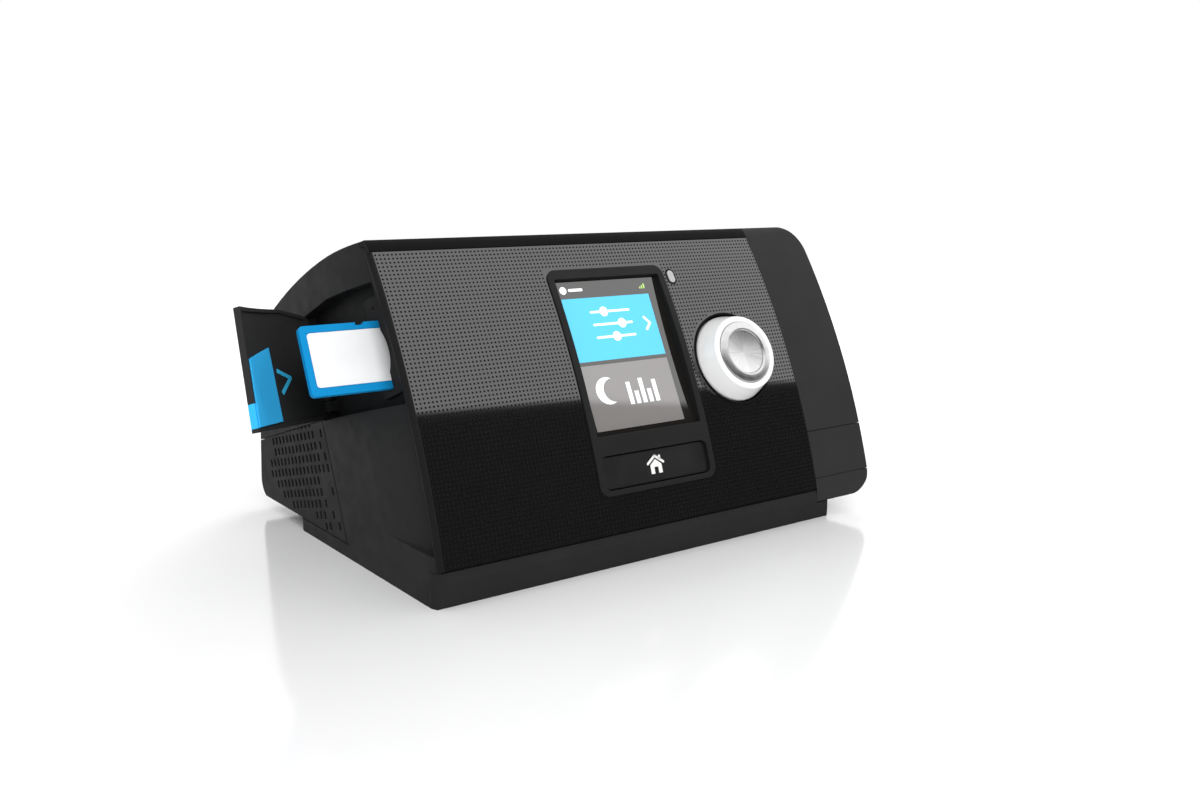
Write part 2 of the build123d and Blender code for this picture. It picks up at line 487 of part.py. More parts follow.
def dial_encoder():
    """The push-and-turn switch under the dial."""
    deep = BOARD_H - bulge(DIAL_Q)
    body = DIAL * Pos(0, 0, (deep + ENC_TOP) / 2) * Box(ENC_SIDE, ENC_SIDE, ENC_TOP - deep)
    body = body + rod(DIAL, BUSH_R, ENC_TOP, BUSH_TOP)
    return body - rod(DIAL, SHAFT_R + PIN_CLEAR, deep + 2, 5)


def dial_shaft():
    """The shaft that carries the dial."""
    deep = BOARD_H - bulge(DIAL_Q)
    shaft = rod(DIAL, SHAFT_R, deep + 2.2, SHAFT_LEN_OUT)
    return shaft - DIAL * Pos(0, SHAFT_R, SHAFT_LEN_OUT) * Box(0.8, 1.2, 6)


def spun(points, where):
    """A ring turned from its (radius, height) outline."""
    face = make_face(Plane.XZ * Polyline(*points, close=True))
    return where * revolve(face, Axis.Z)


def dial_knob():
    """The knob: a short cone with a softened foot and edge, hollow round its hub."""
    wall, hub, r = KNOB_WALL, SHAFT_R + 2.6, KNOB_EDGE_R
    outer = [(hub, -1.0), (hub, KNOB_H - wall - 0.6), (KNOB_TOP_R - wall, KNOB_H - wall - 0.6),
             (KNOB_R - wall, 0.0), (KNOB_R - wall, -KNOB_SKIRT), (KNOB_R, -KNOB_SKIRT), (KNOB_R, -1.2),
             (KNOB_R - 0.25, 0.2)]
    turns = [radians(a) for a in range(15, 91, 15)]
    shoulder = [(KNOB_TOP_R - r * (1 - cos(a)), KNOB_H - r * (1 - sin(a))) for a in turns]
    top = [(RING_R + 0.05, KNOB_H), (RING_R + 0.05, DIAL_SEAT), (SHAFT_R + PIN_CLEAR, DIAL_SEAT),
           (SHAFT_R + PIN_CLEAR, -1.0)]
    knob = spun(outer + shoulder + top, DIAL)
    plug = rod(DIAL, SHAFT_R + 0.5, SHAFT_LEN_OUT + DIAL_TRAVEL + 0.2, DIAL_SEAT)
    return knob + plug


def dial_ring():
    """The bright ring in the knob's top."""
    z = DIAL_SEAT
    outer = [(RING_IN_R, z), (RING_R, z), (RING_R, z + 1.75), (RING_R - 0.35, z + 2.35)]
    inner = [(RING_R - 0.9, z + 2.55), (RING_IN_R + 0.7, z + 2.25), (RING_IN_R, z + 1.8)]
    return spun(outer + inner, DIAL)


def dial_cap():
    """The dished disc inside the ring."""
    z, r = DIAL_SEAT, CAP_R
    dish = [(r * k / 6, z + 1.75 - 0.9 * (1 - (k / 6) ** 2)) for k in range(6, -1, -1)]
    return spun([(0, z), (r, z)] + dish, DIAL)


# ---- memory card and its bay ---------------------------------------------------------------------
def card_block(x0, x1, grow):
    """A block the card's shape, grown by grow, from x0 to x1."""
    w, t = CARD_W / 2 + grow, CARD_T / 2 + grow
    return slab(x0, x1, CARD_Q - w, CARD_Q + w, CARD_H - t, CARD_H + t)


def sd_card():
    """The memory card, with its rounded outer corners, notch and label recess."""
    card = card_block(CARD_OUT_X, CARD_OUT_X + CARD_L, 0)
    edges = card.edges().filter_by(lambda e: abs(e.length - CARD_T) < 0.01)
    outer = edges.filter_by(lambda e: e.center().X < CARD_OUT_X + 1)
    card = fillet(outer, 1.6)
    top, bottom = CARD_Q + CARD_W / 2, CARD_Q - CARD_W / 2
    h = CARD_H + CARD_T / 2
    card = card - slab(CARD_OUT_X + 20, CARD_OUT_X + 23, top - 1.0, top + 1, -20, 5)
    card = card - slab(CARD_OUT_X + 2.2, CARD_OUT_X + 40, bottom + 2.6, top - 2.4, h - 0.2, h + 2, 0.0)
    return card


def sd_card_label():
    """The label that lies in the card's recess."""
    top, bottom = CARD_Q + CARD_W / 2, CARD_Q - CARD_W / 2
    h = CARD_H + CARD_T / 2
    label = slab(CARD_OUT_X + 2.4, CARD_OUT_X + CARD_L - 1.6, bottom + 2.8, top - 2.6, h - 0.2, h - 0.02)
    edges = label.edges().filter_by(lambda e: abs(e.length - 0.18) < 0.01)
    return fillet(edges, 1.2)


def card_guide():
    """The raised guide round the card's slot, with a finger scoop and a pinhole."""
    points = [(GUIDE_S0, GUIDE_T0), (GUIDE_S1, GUIDE_T0), (GUIDE_S1, GUIDE_T1), (GUIDE_S0, GUIDE_T1)]
    guide = side_skin(GUIDE_DEPTH, BAY_DEPTH + BAY_T / 2, [st(s, t) for s, t in points])
    s = (GUIDE_S0 + GUIDE_S1) / 2
    face = waist(s) + GUIDE_DEPTH
    middle = (face + SCOOP_DEEP - SCOOP_R, *st(s, SCOOP_T))
    scoop = rod(Plane(origin=middle, z_dir=SN).location, SCOOP_R, GUIDE_S0 - s - 1, GUIDE_S1 - s + 1)
    hole = across(face - 2, face + PINHOLE_DEEP, *st(PINHOLE_S, PINHOLE_T), PINHOLE_R)
    return guide - scoop - hole


def sd_bay():
    """The pocket behind the card door, with the door's fixed hinge ears."""
    tray = side_skin(WALL, BAY_DEPTH + BAY_T, door_outline(BAY_LAP, HINGE_R + BAY_LAP))
    rim = silhouette(-2, BAY_RIM_X, -SKIN - SEAM)
    rim = rim + silhouette(BAY_RIM_X - 0.1, WAIST_DEEP, -SKIN - LIP - SEAM)
    tray = (tray & rim) - side_skin(0, BAY_DEPTH, door_outline(SEAM, HINGE_R + CLEAR)) + card_guide()
    for t0, t1 in EARS:
        web = HINGE_LINE * Pos(0, BAY_DEPTH / 2, (t0 + t1) / 2) * Box(2 * HINGE_R, BAY_DEPTH, t1 - t0)
        tray = tray + rod(HINGE_LINE, HINGE_R, t0, t1) + (web & box(-1, BAY_DEPTH + 0.5, 0, 200, 0, 200))
    tray = tray - rod(HINGE_LINE, HINGE_PIN_R, 0, 60)
    return tray - card_block(-5, 30, CARD_SLACK)


def sd_socket():
    """The socket that the card slides into."""
    x0, x1 = BAY_DEPTH + BAY_T + 3.4, SOCKET_X1
    w = CARD_W / 2 + 2
    shell = slab(x0, x1, CARD_Q - w, CARD_Q + w, BOARD_H, CARD_H + CARD_T / 2 + 1.2)
    return shell - card_block(x0 - 1, x1 - 1.6, 0.2)


def free_edge(t):
    """s of the card door's free edge at t."""
    (s0, t0), (s1, t1) = DOOR_LOW[-1], DOOR_HIGH[0]
    return s0 + (s1 - s0) * (t - t0) / (t1 - t0)


def edge_band(back, front, t0, t1):
    """A band along the card door's free edge as (y, z) points, from back to front of it."""
    return [st(free_edge(t0) - back, t0), st(free_edge(t0) - front, t0), st(free_edge(t1) - front, t1),
            st(free_edge(t1) - back, t1)]


def door_skin():
    """The card door as it lies when shut."""
    door = side_skin(0, DOOR_T, door_outline(0))
    rim = side_skin(0, DOOR_LIP, door_outline(0))
    low, high = DOOR_LOW[-1][1] + DOOR_RIM, DOOR_HIGH[0][1] - DOOR_RIM
    inner = [(-30, DOOR_LOW[0][1] + 2.4), (0, DOOR_LOW[1][1] + DOOR_RIM), (free_edge(low) - DOOR_RIM, low),
             (free_edge(high) - DOOR_RIM, high), (DOOR_HIGH[1][0], DOOR_HIGH[1][1] - DOOR_RIM),
             (-30, DOOR_HIGH[2][1] - DOOR_RIM)]
    rim = rim - prism([st(s, t) for s, t in inner], -2, 13)
    door = door + (rim - rod(HINGE_LINE, HINGE_R + 3.6, 0, 60))
    door = door - prism(edge_band(DOOR_RIM, -2, low, NOTCH_TOP), -2, 13)
    for t0, t1 in EARS:
        door = door - rod(HINGE_LINE, HINGE_R + 0.3, t0 - 0.3, t1 + 0.3)
    for t0, t1 in KNUCKLES:
        door = door + rod(HINGE_LINE, HINGE_R, t0, t1)
    return door - rod(HINGE_LINE, HINGE_PIN_R + PIN_CLEAR, -5, 60)


def swung(shape):
    """Turns a shut-door part about the hinge to the open rest position."""
    return HINGE_LINE * Rot(Z=-DOOR_OPEN) * HINGE_LINE.inverse() * shape


def sd_door():
    """The card door, open as at rest."""
    return swung(door_skin())


def sd_door_latch():
    """The finger tab on the door's inner face; its raised wing reaches through the rim's notch."""
    low = DOOR_LOW[-1][1] + DOOR_RIM
    foot, back = low + SEAM, free_edge(low + SEAM) - DOOR_RIM
    top = LATCH_TOP - LATCH_SLANT * (back - LATCH_S)
    outline = [st(LATCH_S, foot + LATCH_RISE), st(back, foot), st(free_edge(top) - DOOR_RIM, top),
               st(LATCH_S, LATCH_TOP)]
    (s0, t0), (s1, t1) = LATCH_FOLD
    lean = (s1 - s0) / (t1 - t0)
    beyond = [st(s0 + lean * (low - t0), low), st(free_edge(low), low), st(free_edge(LATCH_TOP), LATCH_TOP),
              st(s0 + lean * (LATCH_TOP - t0), LATCH_TOP)]
    plate = side_skin(DOOR_T, DOOR_T + LATCH_T, outline)
    wing = side_skin(DOOR_T, DOOR_T + LATCH_WING_T, outline) & prism(beyond, -2, 13)
    corner = side_skin(0, DOOR_LIP, edge_band(DOOR_RIM, 0, low, NOTCH_TOP))
    return swung(plate + wing + corner)


def sd_door_arrow():
    """A raised chevron that points at the hinge."""
    tip, arms, w = (2.9, 18.3), [(11.9, 19.8), (10.7, 12.0)], 0.7
    strokes = []
    for s, t in arms:
        ds, dt = s - tip[0], t - tip[1]
        k = w / sqrt(ds * ds + dt * dt)
        a, b = -dt * k, ds * k
        strokes.append(prism([st(tip[0] + a, tip[1] + b), st(s + a, t + b), st(s - a, t - b), st(
            tip[0] - a, tip[1] - b)], -1, 12))
    turns = [radians(a) for a in range(0, 360, 30)]
    cap = prism([st(tip[0] + w * cos(a), tip[1] + w * sin(a)) for a in turns], -1, 12)
    whole = [st(0, 0), st(DOOR_LOW[-1][0], 0), st(DOOR_LOW[-1][0], 30), st(0, 30)]
    return swung(side_skin(DOOR_T, DOOR_T + ARROW_T, whole) & (strokes[0] + strokes[1] + cap))


def sd_hinge_pin():
    """The pin of the card door's hinge."""
    return rod(HINGE_LINE, HINGE_PIN_R, EARS[0][0], EARS[-1][1])


# ---- electronics ---------------------------------------------------------------------------------
def main_board():
    """The circuit board behind the front panel."""
    board = slab(BOARD_X0, BOARD_X1, BOARD_Q0, BOARD_Q1, BOARD_H - BOARD_T, BOARD_H)
    for x, q in BOARD_HOLES:
        board = board - rod(FRONT * Pos(x, q, BOARD_H), BOARD_SCREW_R + 0.1, -5, 5)
    return board


def board_screws():
    """The screws that hold the board to its posts."""
    def screw(x, q):
        where = FRONT * Pos(x, q, BOARD_H)
        return rod(where, 3.0, 0, 1.6) + rod(where, BOARD_SCREW_R, -8, 0) - rod(where, 1.2, 0.8, 3)
    return each(screw(x, q) for x, q in BOARD_HOLES)


def chassis_frame():
    """A frame behind the board that carries it on posts."""
    h1, w = BOARD_H - BOARD_T, FRAME_BAND
    frame = slab(-5, BODY_W, BOARD_Q0, BOARD_Q1, h1 - FRAME_H, h1 - FRAME_H + FRAME_T)
    frame = frame - slab(BOARD_X0 + w, BOARD_X1 - w, BOARD_Q0 + w, BOARD_Q1 - w, -40, 0)
    frame = frame - slab(-6, BOARD_X0, BOARD_Q0 + w, BOARD_Q1 + 1, -40, 0)
    frame = frame - slab(BOARD_X1, BODY_W + 1, BOARD_Q0 + w, BOARD_Q1 - w, -40, 0)
    frame = frame & body_block(WALL)
    x, y, z = START_STEM_X, START_STEM_Y, START_SWITCH_Z0
    frame = frame + box(x - w, x + w, y - 1, y + 5, z - 1.5, z) + box(x - w, x + w, y + 3, y + 5, z - 6, z)
    for x, q in BOARD_HOLES:
        frame = frame + rod(FRONT * Pos(x, q, h1), 3.6, -FRAME_H, 0)
    for x, q in BOARD_HOLES:
        frame = frame - rod(FRONT * Pos(x, q, h1), BOARD_SCREW_R, -20, 5)
    return frame - box(BAY_X0 - 1, 200, BAY_Y0 - 0.2, 200, 0, BAY_Z1 + 1)


def modem_module():
    """The radio module on the board."""
    h1 = BOARD_H - BOARD_T
    w, long = MODEM_W / 2, MODEM_L / 2
    return slab(MODEM_X - w, MODEM_X + w, MODEM_Q - long, MODEM_Q + long, h1 - MODEM_T, h1)


def ribbon_cable():
    """The flat cable from the board to the screen."""
    strip = GLASS * Pos(0, RIBBON_Y, -GLASS_T - LCD_T - LCD_BACK - 10) * Box(RIBBON_W, RIBBON_T, 20)
    return strip & slab(BEZEL_X0, BEZEL_X1, BEZEL_Q0, BEZEL_Q1, BOARD_H, 0)


# ---- filter cover --------------------------------------------------------------------------------
def slot_places():
    """(s, t) of every vent slot."""
    places = []
    for row, (s_first, s_last) in ROWS.items():
        t_mid = ROW_T0 - (row - 1) * ROW_PITCH
        count = int((s_first - s_last) / SLOT_PITCH) + 1
        columns = [s_first - k * SLOT_PITCH for k in range(count)]
        places += [(s, t_mid + (s + 40) * ROW_SLOPE) for s in columns]
    for row, s in STRAYS:
        places.append((s, ROW_T0 - (row - 1) * ROW_PITCH + (s + 40) * ROW_SLOPE))
    return places


def cover_pins(grow):
    """The stub pins at both ends of the filter cover's front edge."""
    reach = COVER_PIN_LEN + grow
    top = cover_region(COVER_S, 0)[0]
    t_top = (top[0] - SIDE_Y) * SU[1] + (top[1] - SIDE_Z) * SU[2]
    t_low = (COVER_Z0 - st(COVER_S, 0)[1]) / SU[2]
    pin_r = COVER_PIN_R + grow
    return rod(COVER_AXIS, pin_r, t_top - 1, t_top + reach) + rod(COVER_AXIS, pin_r, t_low - reach, t_low + 1)


def filter_cover():
    """The vented cover, its front edge rounded about the hinge line."""
    wall = body_block() - silhouette(SKIN, COVER_X1 + 9, -SKIN)
    edge = rod(COVER_AXIS, SKIN / 2, -60, 60)
    cover = (wall & cover_room(COVER_S, 0)) + (edge & cover_room(COVER_S + SKIN, 0))
    slots = [SIDE * Pos(s, 0, t) * Box(SLOT_W, 8, SLOT_H) for s, t in slot_places()]
    spots = [(8 + k * SLOT_PITCH, BASE_D + 39, z) for k in range(10) for z in REAR_ROWS]
    rear = [Pos(*spot) * Box(SLOT_W, 12, SLOT_H) for spot in spots]
    return cover - slots - rear + cover_pins(0)


def air_filter():
    """A pleated filter block."""
    x0, x1, y0, y1, z0, z1 = FILTER
    block = box(x0, x1, y0, y1, z0, z1)
    count = int((x1 - x0) / 4)
    for k in range(count):
        x = x0 + 2 + 4 * k
        block = block - box(x - 0.7, x + 0.7, y0 - 1, y0 + 4, z0 + 1, z1 - 1)
        block = block - box(x + 1.3, x + 2.7, y1 - 4, y1 + 1, z0 + 1, z1 - 1) if k < count - 1 else block
    return block


def filter_holder():
    """The frame that holds the air filter at the inlet."""
    x0, x1, y0, y1, z0, z1 = FILTER
    frame = box(x0 - 2, x1 + 2, y0 - 2, y1 + 1, z0 - 1.6, z1 + 2) - box(x0, x1, y0, y1 + 3, z0, z1)
    frame = frame - box(x0 + 3, x1 - 3, y0 - 9, y0 + 3, z0 + 2, z1 - 2)
    return frame + box(x0 - 2, x1 + 2, y1 - 1, y1 + 2.6, z1 + 1, z1 + 14) & silhouette(-1, 60, -WALL)


# ---- blower --------------------------------------------------------------------------------------
def blower_form(grow):
    """The blower's outer form with its outlet branch, shrunk by -grow."""
    form = rod(BLOW, BLOW_R + grow, BLOW_Z0 - grow, BLOW_Z1 + grow)
    h = PIPE_R + 1.2 + grow
    branch = box(BLOW_X, DUCT_X0, PORT_Y_IN - h, PORT_Y_IN + h, PORT_Z - h, PORT_Z + h)
    return form + branch


def blower_case():
    """One solid of the blower housing between two heights, before it is hollowed."""
    case = blower_form(0) - blower_form(-BLOW_WALL)
    case = case - across(DUCT_X0 - 8, DUCT_X0 + 5, PORT_Y_IN, PORT_Z, PIPE_R + PIN_CLEAR)
    case = case - rod(BLOW, BLOW_INLET_R, BLOW_SPLIT + 2, BLOW_Z1 + 5)
    return case


def blower_case_lower():
    """The lower half of the blower housing, with the motor's seat."""
    lower = blower_case() & box(-50, 150, 0, 200, 0, BLOW_SPLIT)
    can = tube(BLOW, CAN_R, CAN_R - CAN_WALL, MOTOR_Z0, BLOW_Z0 + 1)
    floor = rod(BLOW, CAN_R, MOTOR_Z0, MOTOR_Z0 + CAN_WALL)
    seat = rod(BLOW, BEARING_R + 2, BLOW_Z0 - 3, BLOW_Z0 + 1)
    lower = lower + can + floor + seat
    for z in BEARING_Z:
        lower = lower - rod(BLOW, BEARING_R, z, z + BEARING_H)
    return lower - rod(BLOW, AXLE_R + 1, BLOW_Z0 - 4, BLOW_Z0 + 5)


def blower_case_upper():
    """The upper half of the blower housing, with its inlet."""
    return blower_case() & box(-50, 150, 0, 200, BLOW_SPLIT, 100)


def impeller():
    """The fan wheel: hub, curved blades and back plate."""
    disc = rod(BLOW, IMP_R, IMP_Z0, IMP_Z0 + IMP_DISC) + rod(BLOW, IMP_HUB_R, IMP_Z0, IMP_Z0 + IMP_H)
    outer = CenterArc((BLADE_X, 0), BLADE_R, 95, 120)
    inner = CenterArc((BLADE_X, 0), BLADE_R - BLADE_T, 95, 120)
    edge = Curve([outer, inner, Line(outer @ 0, inner @ 0), Line(outer @ 1, inner @ 1)])
    blade = Pos(0, 0, IMP_Z0) * extrude(make_face(edge), amount=IMP_H)
    blades = [BLOW * Rot(Z=360 / BLADES * k) * blade for k in range(BLADES)]
    return ((disc + blades) & rod(BLOW, IMP_R, 0, 100)) - rod(BLOW, AXLE_R + PIN_CLEAR, 0, 100)


def motor_rotor():
    """The motor's magnet ring on its shaft."""
    shaft = rod(BLOW, AXLE_R, BEARING_Z[0] + SEAM, IMP_Z0 + IMP_H + 1)
    return shaft + rod(BLOW, ROTOR_R, MAGNET_Z0, MAGNET_Z1)


def motor_stator():
    """The motor's toothed core."""
    ring = tube(BLOW, STATOR_R, STATOR_R - 2, MAGNET_Z0, MAGNET_Z1)
    tooth = box(ROTOR_R + AIR_GAP, STATOR_R - 1, -TOOTH_W / 2, TOOTH_W / 2, MAGNET_Z0, MAGNET_Z1)
    for k in range(TEETH):
        ring = ring + BLOW * Rot(Z=360 / TEETH * k) * tooth
    return ring


def motor_bearings():
    """The two bearings of the motor shaft."""
    return each(tube(BLOW, BEARING_R, AXLE_R + PIN_CLEAR, z, z + BEARING_H) for z in BEARING_Z)


def blower_mounts():
    """The soft mounts that the blower stands on."""
    return each(rod(BLOW * Pos(dx, dy, 0), MOUNT_R, FLOOR, BLOW_Z0) for dx, dy in MOUNTS)


def muffler_foam():
    """The foam that lines the way in to the blower."""
    w = MUFFLER_W / 2
    foam = box(BLOW_X - BLOW_R - 4, BLOW_X + BLOW_R + 2, BLOW_Y - w, BLOW_Y + w, BLOW_Z1, BLOW_Z1 + MUFFLER_T)
    return foam - rod(BLOW, BLOW_INLET_R, 0, 100)


def blower_duct():
    """The duct from the blower to the flow sensor."""
    return tube(Pos(0, PORT_Y_IN, PORT_Z) * Rot(Y=90), PIPE_R, PIPE_IN_R, DUCT_X0 - 6, BAY_X0 + BAY_WALL)


def flow_sensor():
    """The flow sensor in line with the duct."""
    return box(82, 91, PORT_Y_IN - 6, PORT_Y_IN + 6, PORT_Z + PIPE_R + 0.05, PORT_Z + PIPE_R + 6)


# ---- tub bay, heater and tub ---------------------------------------------------------------------
def tub_bay():
    """The bay that the water tub slides into."""
    w = BAY_WALL
    bay = box(BAY_X0, BODY_W, BAY_Y0, BAY_Y1, BAY_Z0, BAY_Z1)
    bay = bay - box(BAY_X0 + w, BODY_W + 1, BAY_Y0 + w, BAY_Y1 - w, BAY_Z0 + w, BAY_Z1 - w)
    g = CLEAR
    bay = bay - box(HEATER_X0 - g, HEATER_X1 + g, HEATER_Y0 - g, HEATER_Y1 + g, 0, BAY_Z0 + w + 1)
    for y in (PORT_Y_IN, PORT_Y_OUT):
        bay = bay - across(BAY_X0 - 1, BAY_X0 + w + 1, y, PORT_Z, PIPE_R + PIN_CLEAR)
    return bay


def heater_plate():
    """The warm plate under the tub's metal floor."""
    return box(HEATER_X0, HEATER_X1, HEATER_Y0, HEATER_Y1, HEATER_TOP - HEATER_T, HEATER_TOP)


def heater_tray():
    """The tray that guides the heater plate."""
    g = 2.0
    tray = box(HEATER_X0 - g, HEATER_X1 + g, HEATER_Y0 - g, HEATER_Y1 + g, FLOOR, BASE_H)
    return tray - box(HEATER_X0, HEATER_X1, HEATER_Y0, HEATER_Y1, FLOOR + 1, BASE_H + 1)


def heater_springs():
    """The springs that press the heater plate up."""
    z0, z1 = FLOOR + 1 + SPRING_WIRE, HEATER_TOP - HEATER_T - SPRING_WIRE
    path = Helix((z1 - z0) / SPRING_TURNS, z1 - z0, SPRING_R)
    coil = sweep(Plane(origin=path @ 0, z_dir=path % 0) * Circle(SPRING_WIRE), path=path)
    spots = [(x, y) for x in (HEATER_X0 + 8, HEATER_X1 - 8) for y in (HEATER_Y0 + 8, HEATER_Y1 - 8)]
    return each(Pos(x, y, z0) * coil for x, y in spots)


def tub_cap(off=0.0):
    """The tub's outer end as one block, shrunk by off."""
    x0, x1 = BODY_W + TUB_GAP, TUB_W
    block = silhouette(x0 + off, x1 - off, -off)
    r = TUB_R_LOW - off
    w, h = 100.0, CREST - TUB_Z0 - 2 * off
    plan = Plane.XZ * Pos(x1 - off - w / 2, (CREST + TUB_Z0) / 2) * RectangleRounded(w, h, r)
    ends = extrude(plan, amount=BASE_D, both=True).moved(Pos(0, BASE_D / 2, 0))
    return block & ends & box(x0, x1 + 1, -20, 200, TUB_Z0, 200)


def tub_shell():
    """The water tub's solid outline between two heights, shrunk by off."""
    return tub_cap() - tub_cap(TUB_SHELL)


def tub_room(grow, z0, z1):
    """The part of the tub that slides into the bay."""
    w = TUB_WALL
    g = CLEAR + BAY_WALL - grow
    return box(BAY_X0 + BAY_WALL + 0.6 - grow, BODY_W + TUB_GAP + 1, BAY_Y0 + g, BAY_Y1 - g, z0, z1)


def tub_base():
    """The lower half of the water tub."""
    cut = TUB_SEAM_Z - SEAM / 2
    w = TUB_WALL
    base = tub_shell() & box(0, 300, -20, 200, 0, cut)
    room = tub_room(0, TUB_FLOOR, cut) - box(
        BAY_X0 + BAY_WALL + 0.6 + w, BODY_W - w, BAY_Y0 + 2.4 + w, BAY_Y1 - 2.4 - w, TUB_FLOOR + w, cut + 1)
    base = base + room
    base = base - plate_box(0.0, TUB_FLOOR - 1, TUB_FLOOR + PLATE_T) - plate_box(-3.0, 0, TUB_FLOOR + w + 1)
    groove = tub_cap() - tub_cap(0.35) & box(0, 300, -20, 200, 16.8, 17.2)
    knuckle = rod(TUB_HINGE, TUB_KNUCKLE_R, 8.0, 12.0)
    z0, z1 = TUB_SEAM_Z - TUB_KNUCKLE_R, TUB_SEAM_Z - SEAM
    web = box(TUB_HINGE_X + 8, TUB_HINGE_X + 12, TUB_PIN_Y, TUB_PIN_Y + 3.4, z0, z1)
    base = base + knuckle + (web & tub_cap(TUB_SHELL / 2))
    return base - groove - rod(TUB_HINGE, TUB_PIN_R + PIN_CLEAR, -20, 40)


def plate_box(grow, z0, z1):
    """The tub plate's outline between two heights."""
    return box(HEATER_X0 - 1 - grow, HEATER_X1 + 1 + grow, HEATER_Y0 - 1 - grow, HEATER_Y1 + 1 + grow, z0, z1)


def tub_plate():
    """The tub's metal floor."""
    return plate_box(0.0, TUB_FLOOR, TUB_FLOOR + PLATE_T)


def tub_lid():
    """The upper half of the water tub, which carries on the lines of the body."""
    cut = TUB_SEAM_Z + SEAM / 2
    w = TUB_WALL
    lid = tub_shell() & box(0, 300, -20, 200, cut, 200)
    room = tub_room(0, cut, TUB_TOP) - box(
        BAY_X0 + BAY_WALL + 0.6 + w, BODY_W - w, BAY_Y0 + 2.4 + w, BAY_Y1 - 2.4 - w, cut - 1, TUB_TOP - w)
    for y in (PORT_Y_IN, PORT_Y_OUT):
        room = room - across(BAY_X0, BAY_X0 + BAY_WALL + w + 2, y, PORT_Z, PORT_R)
    lid = lid + room
    for x0 in (3.5, 12.3):
        lid = lid + rod(TUB_HINGE, TUB_KNUCKLE_R, x0, x0 + 4.2)
        x = TUB_HINGE_X + x0
        web = box(x, x + 4.2, TUB_PIN_Y, TUB_PIN_Y + 3.4, TUB_SEAM_Z + SEAM, TUB_SEAM_Z + TUB_KNUCKLE_R)
        lid = lid + (web & tub_cap(TUB_SHELL / 2))
    return lid - rod(TUB_HINGE, TUB_PIN_R + PIN_CLEAR, -20, 40)


def tub_hinge_pin():
    """The pin of the tub lid's hinge."""
    return rod(TUB_HINGE, TUB_PIN_R, 3.5, 16.5)


def tub_seal():
    """The gasket between the halves of the tub."""
    g = CLEAR + BAY_WALL + TUB_WALL
    x0, x1, y0, y1 = BAY_X0 + BAY_WALL + 0.6 + TUB_WALL, BODY_W - TUB_WALL, BAY_Y0 + g, BAY_Y1 - g
    z0, z1, t = TUB_SEAM_Z - 1.1, TUB_SEAM_Z + 1.1, 1.4
    return box(x0, x1, y0, y1, z0, z1) - box(x0 + t, x1 - t, y0 + t, y1 - t, z0 - 1, z1 + 1)


# ---- air outlet and power inlet -------------------------------------------------------------------
def outlet_elbow():
    """The pipe that turns the tub's outgoing air to the back."""
    path = Curve([Line((BAY_X0 + BAY_WALL, PORT_Y_OUT, PORT_Z), (OUT_X + ELBOW_BEND, PORT_Y_OUT, PORT_Z)),
                  TangentArc((OUT_X + ELBOW_BEND, PORT_Y_OUT, PORT_Z),
                             (OUT_X, PORT_Y_OUT + ELBOW_BEND, PORT_Z), tangent=(-1, 0, 0)),
                  Line((OUT_X, PORT_Y_OUT + ELBOW_BEND, PORT_Z), (OUT_X, NICHE_Y + 2, PORT_Z))])
    wire = Wire(path.edges())
    start = Plane(origin=(BAY_X0 + BAY_WALL, PORT_Y_OUT, PORT_Z), z_dir=(-1, 0, 0))
    return sweep(start * Circle(PIPE_R), path=wire) - sweep(start * Circle(PIPE_IN_R), path=wire)


def outlet_connector():
    """The tapered air outlet that a hose pushes on to."""
    seat = NICHE_Y - OUT_Y1
    pipe = rod(OUTLET, OUT_R, seat, 0) + rod(OUTLET, OUT_NECK_R, seat - NICHE_WALL - 0.5, seat)
    pipe = pipe + rod(OUTLET, OUT_R + 1.6, seat - NICHE_WALL - 1.5, seat - NICHE_WALL)
    return pipe - rod(OUTLET, OUT_BORE_R, seat - 9, 1)


def outlet_seals():
    """Soft rings between the bay's ports and the tub."""
    x = BAY_X0 + BAY_WALL
    return each(tube(Pos(0, y, PORT_Z) * Rot(Y=90), PIPE_R + 1.4, PIPE_IN_R + 0.4, x, x + 0.55)
                for y in (PORT_Y_IN, PORT_Y_OUT))


def power_inlet():
    """The socket for the power lead."""
    body = rod(INLET, INLET_R, -INLET_LEN - INLET_END, 0) + rod(INLET, INLET_R + 1.6, -9, -INLET_FLANGE)
    return body - rod(INLET, INLET_BORE_R, -INLET_LEN, 1)


def power_pins():
    """The power inlet's solder pins, behind its blind end."""
    end = -INLET_LEN - INLET_END
    return each(rod(INLET * Pos(x, y, 0), INLET_PIN_R, end - INLET_PIN_LEN, end) for x, y in INLET_PINS)


PARTS = [base_tray, rubber_feet, base_screws, housing_shell, front_fascia, light_sensor_lens, top_trim,
         start_button, key_switches, display_bezel, display_glass, lcd_module, home_button, dial_well,
         dial_encoder, dial_shaft, dial_knob, dial_ring, dial_cap, sd_card, sd_card_label, sd_bay,
         sd_socket, sd_door, sd_door_latch, sd_door_arrow, sd_hinge_pin, main_board, board_screws,
         chassis_frame, modem_module, ribbon_cable, filter_cover, air_filter, filter_holder,
         blower_case_lower, blower_case_upper, impeller, motor_rotor, motor_stator, motor_bearings,
         blower_mounts, muffler_foam, blower_duct, flow_sensor, tub_bay, heater_plate, heater_tray,
         heater_springs, tub_base, tub_plate, tub_lid, tub_hinge_pin, tub_seal, outlet_elbow,
         outlet_connector, outlet_seals, power_inlet, power_pins]


def main():
    """Writes each node to its own file, in the part's own frame."""
    os.makedirs("parts", exist_ok=True)
    home = Location((-BASE_W / 2, -BASE_D / 2, 0))
    for part in PARTS:
        export_step(home * part(), f"parts/{part.__name__}.step")


if __name__ == "__main__":
    main()
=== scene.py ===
"""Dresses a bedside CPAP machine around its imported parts, one operator for each group of like pieces.

The helpers work in millimetres: x from the machine's left side, y from the base's front edge towards the
back, z up from the desk. A finished mesh is moved to the row frame, in metres.
"""

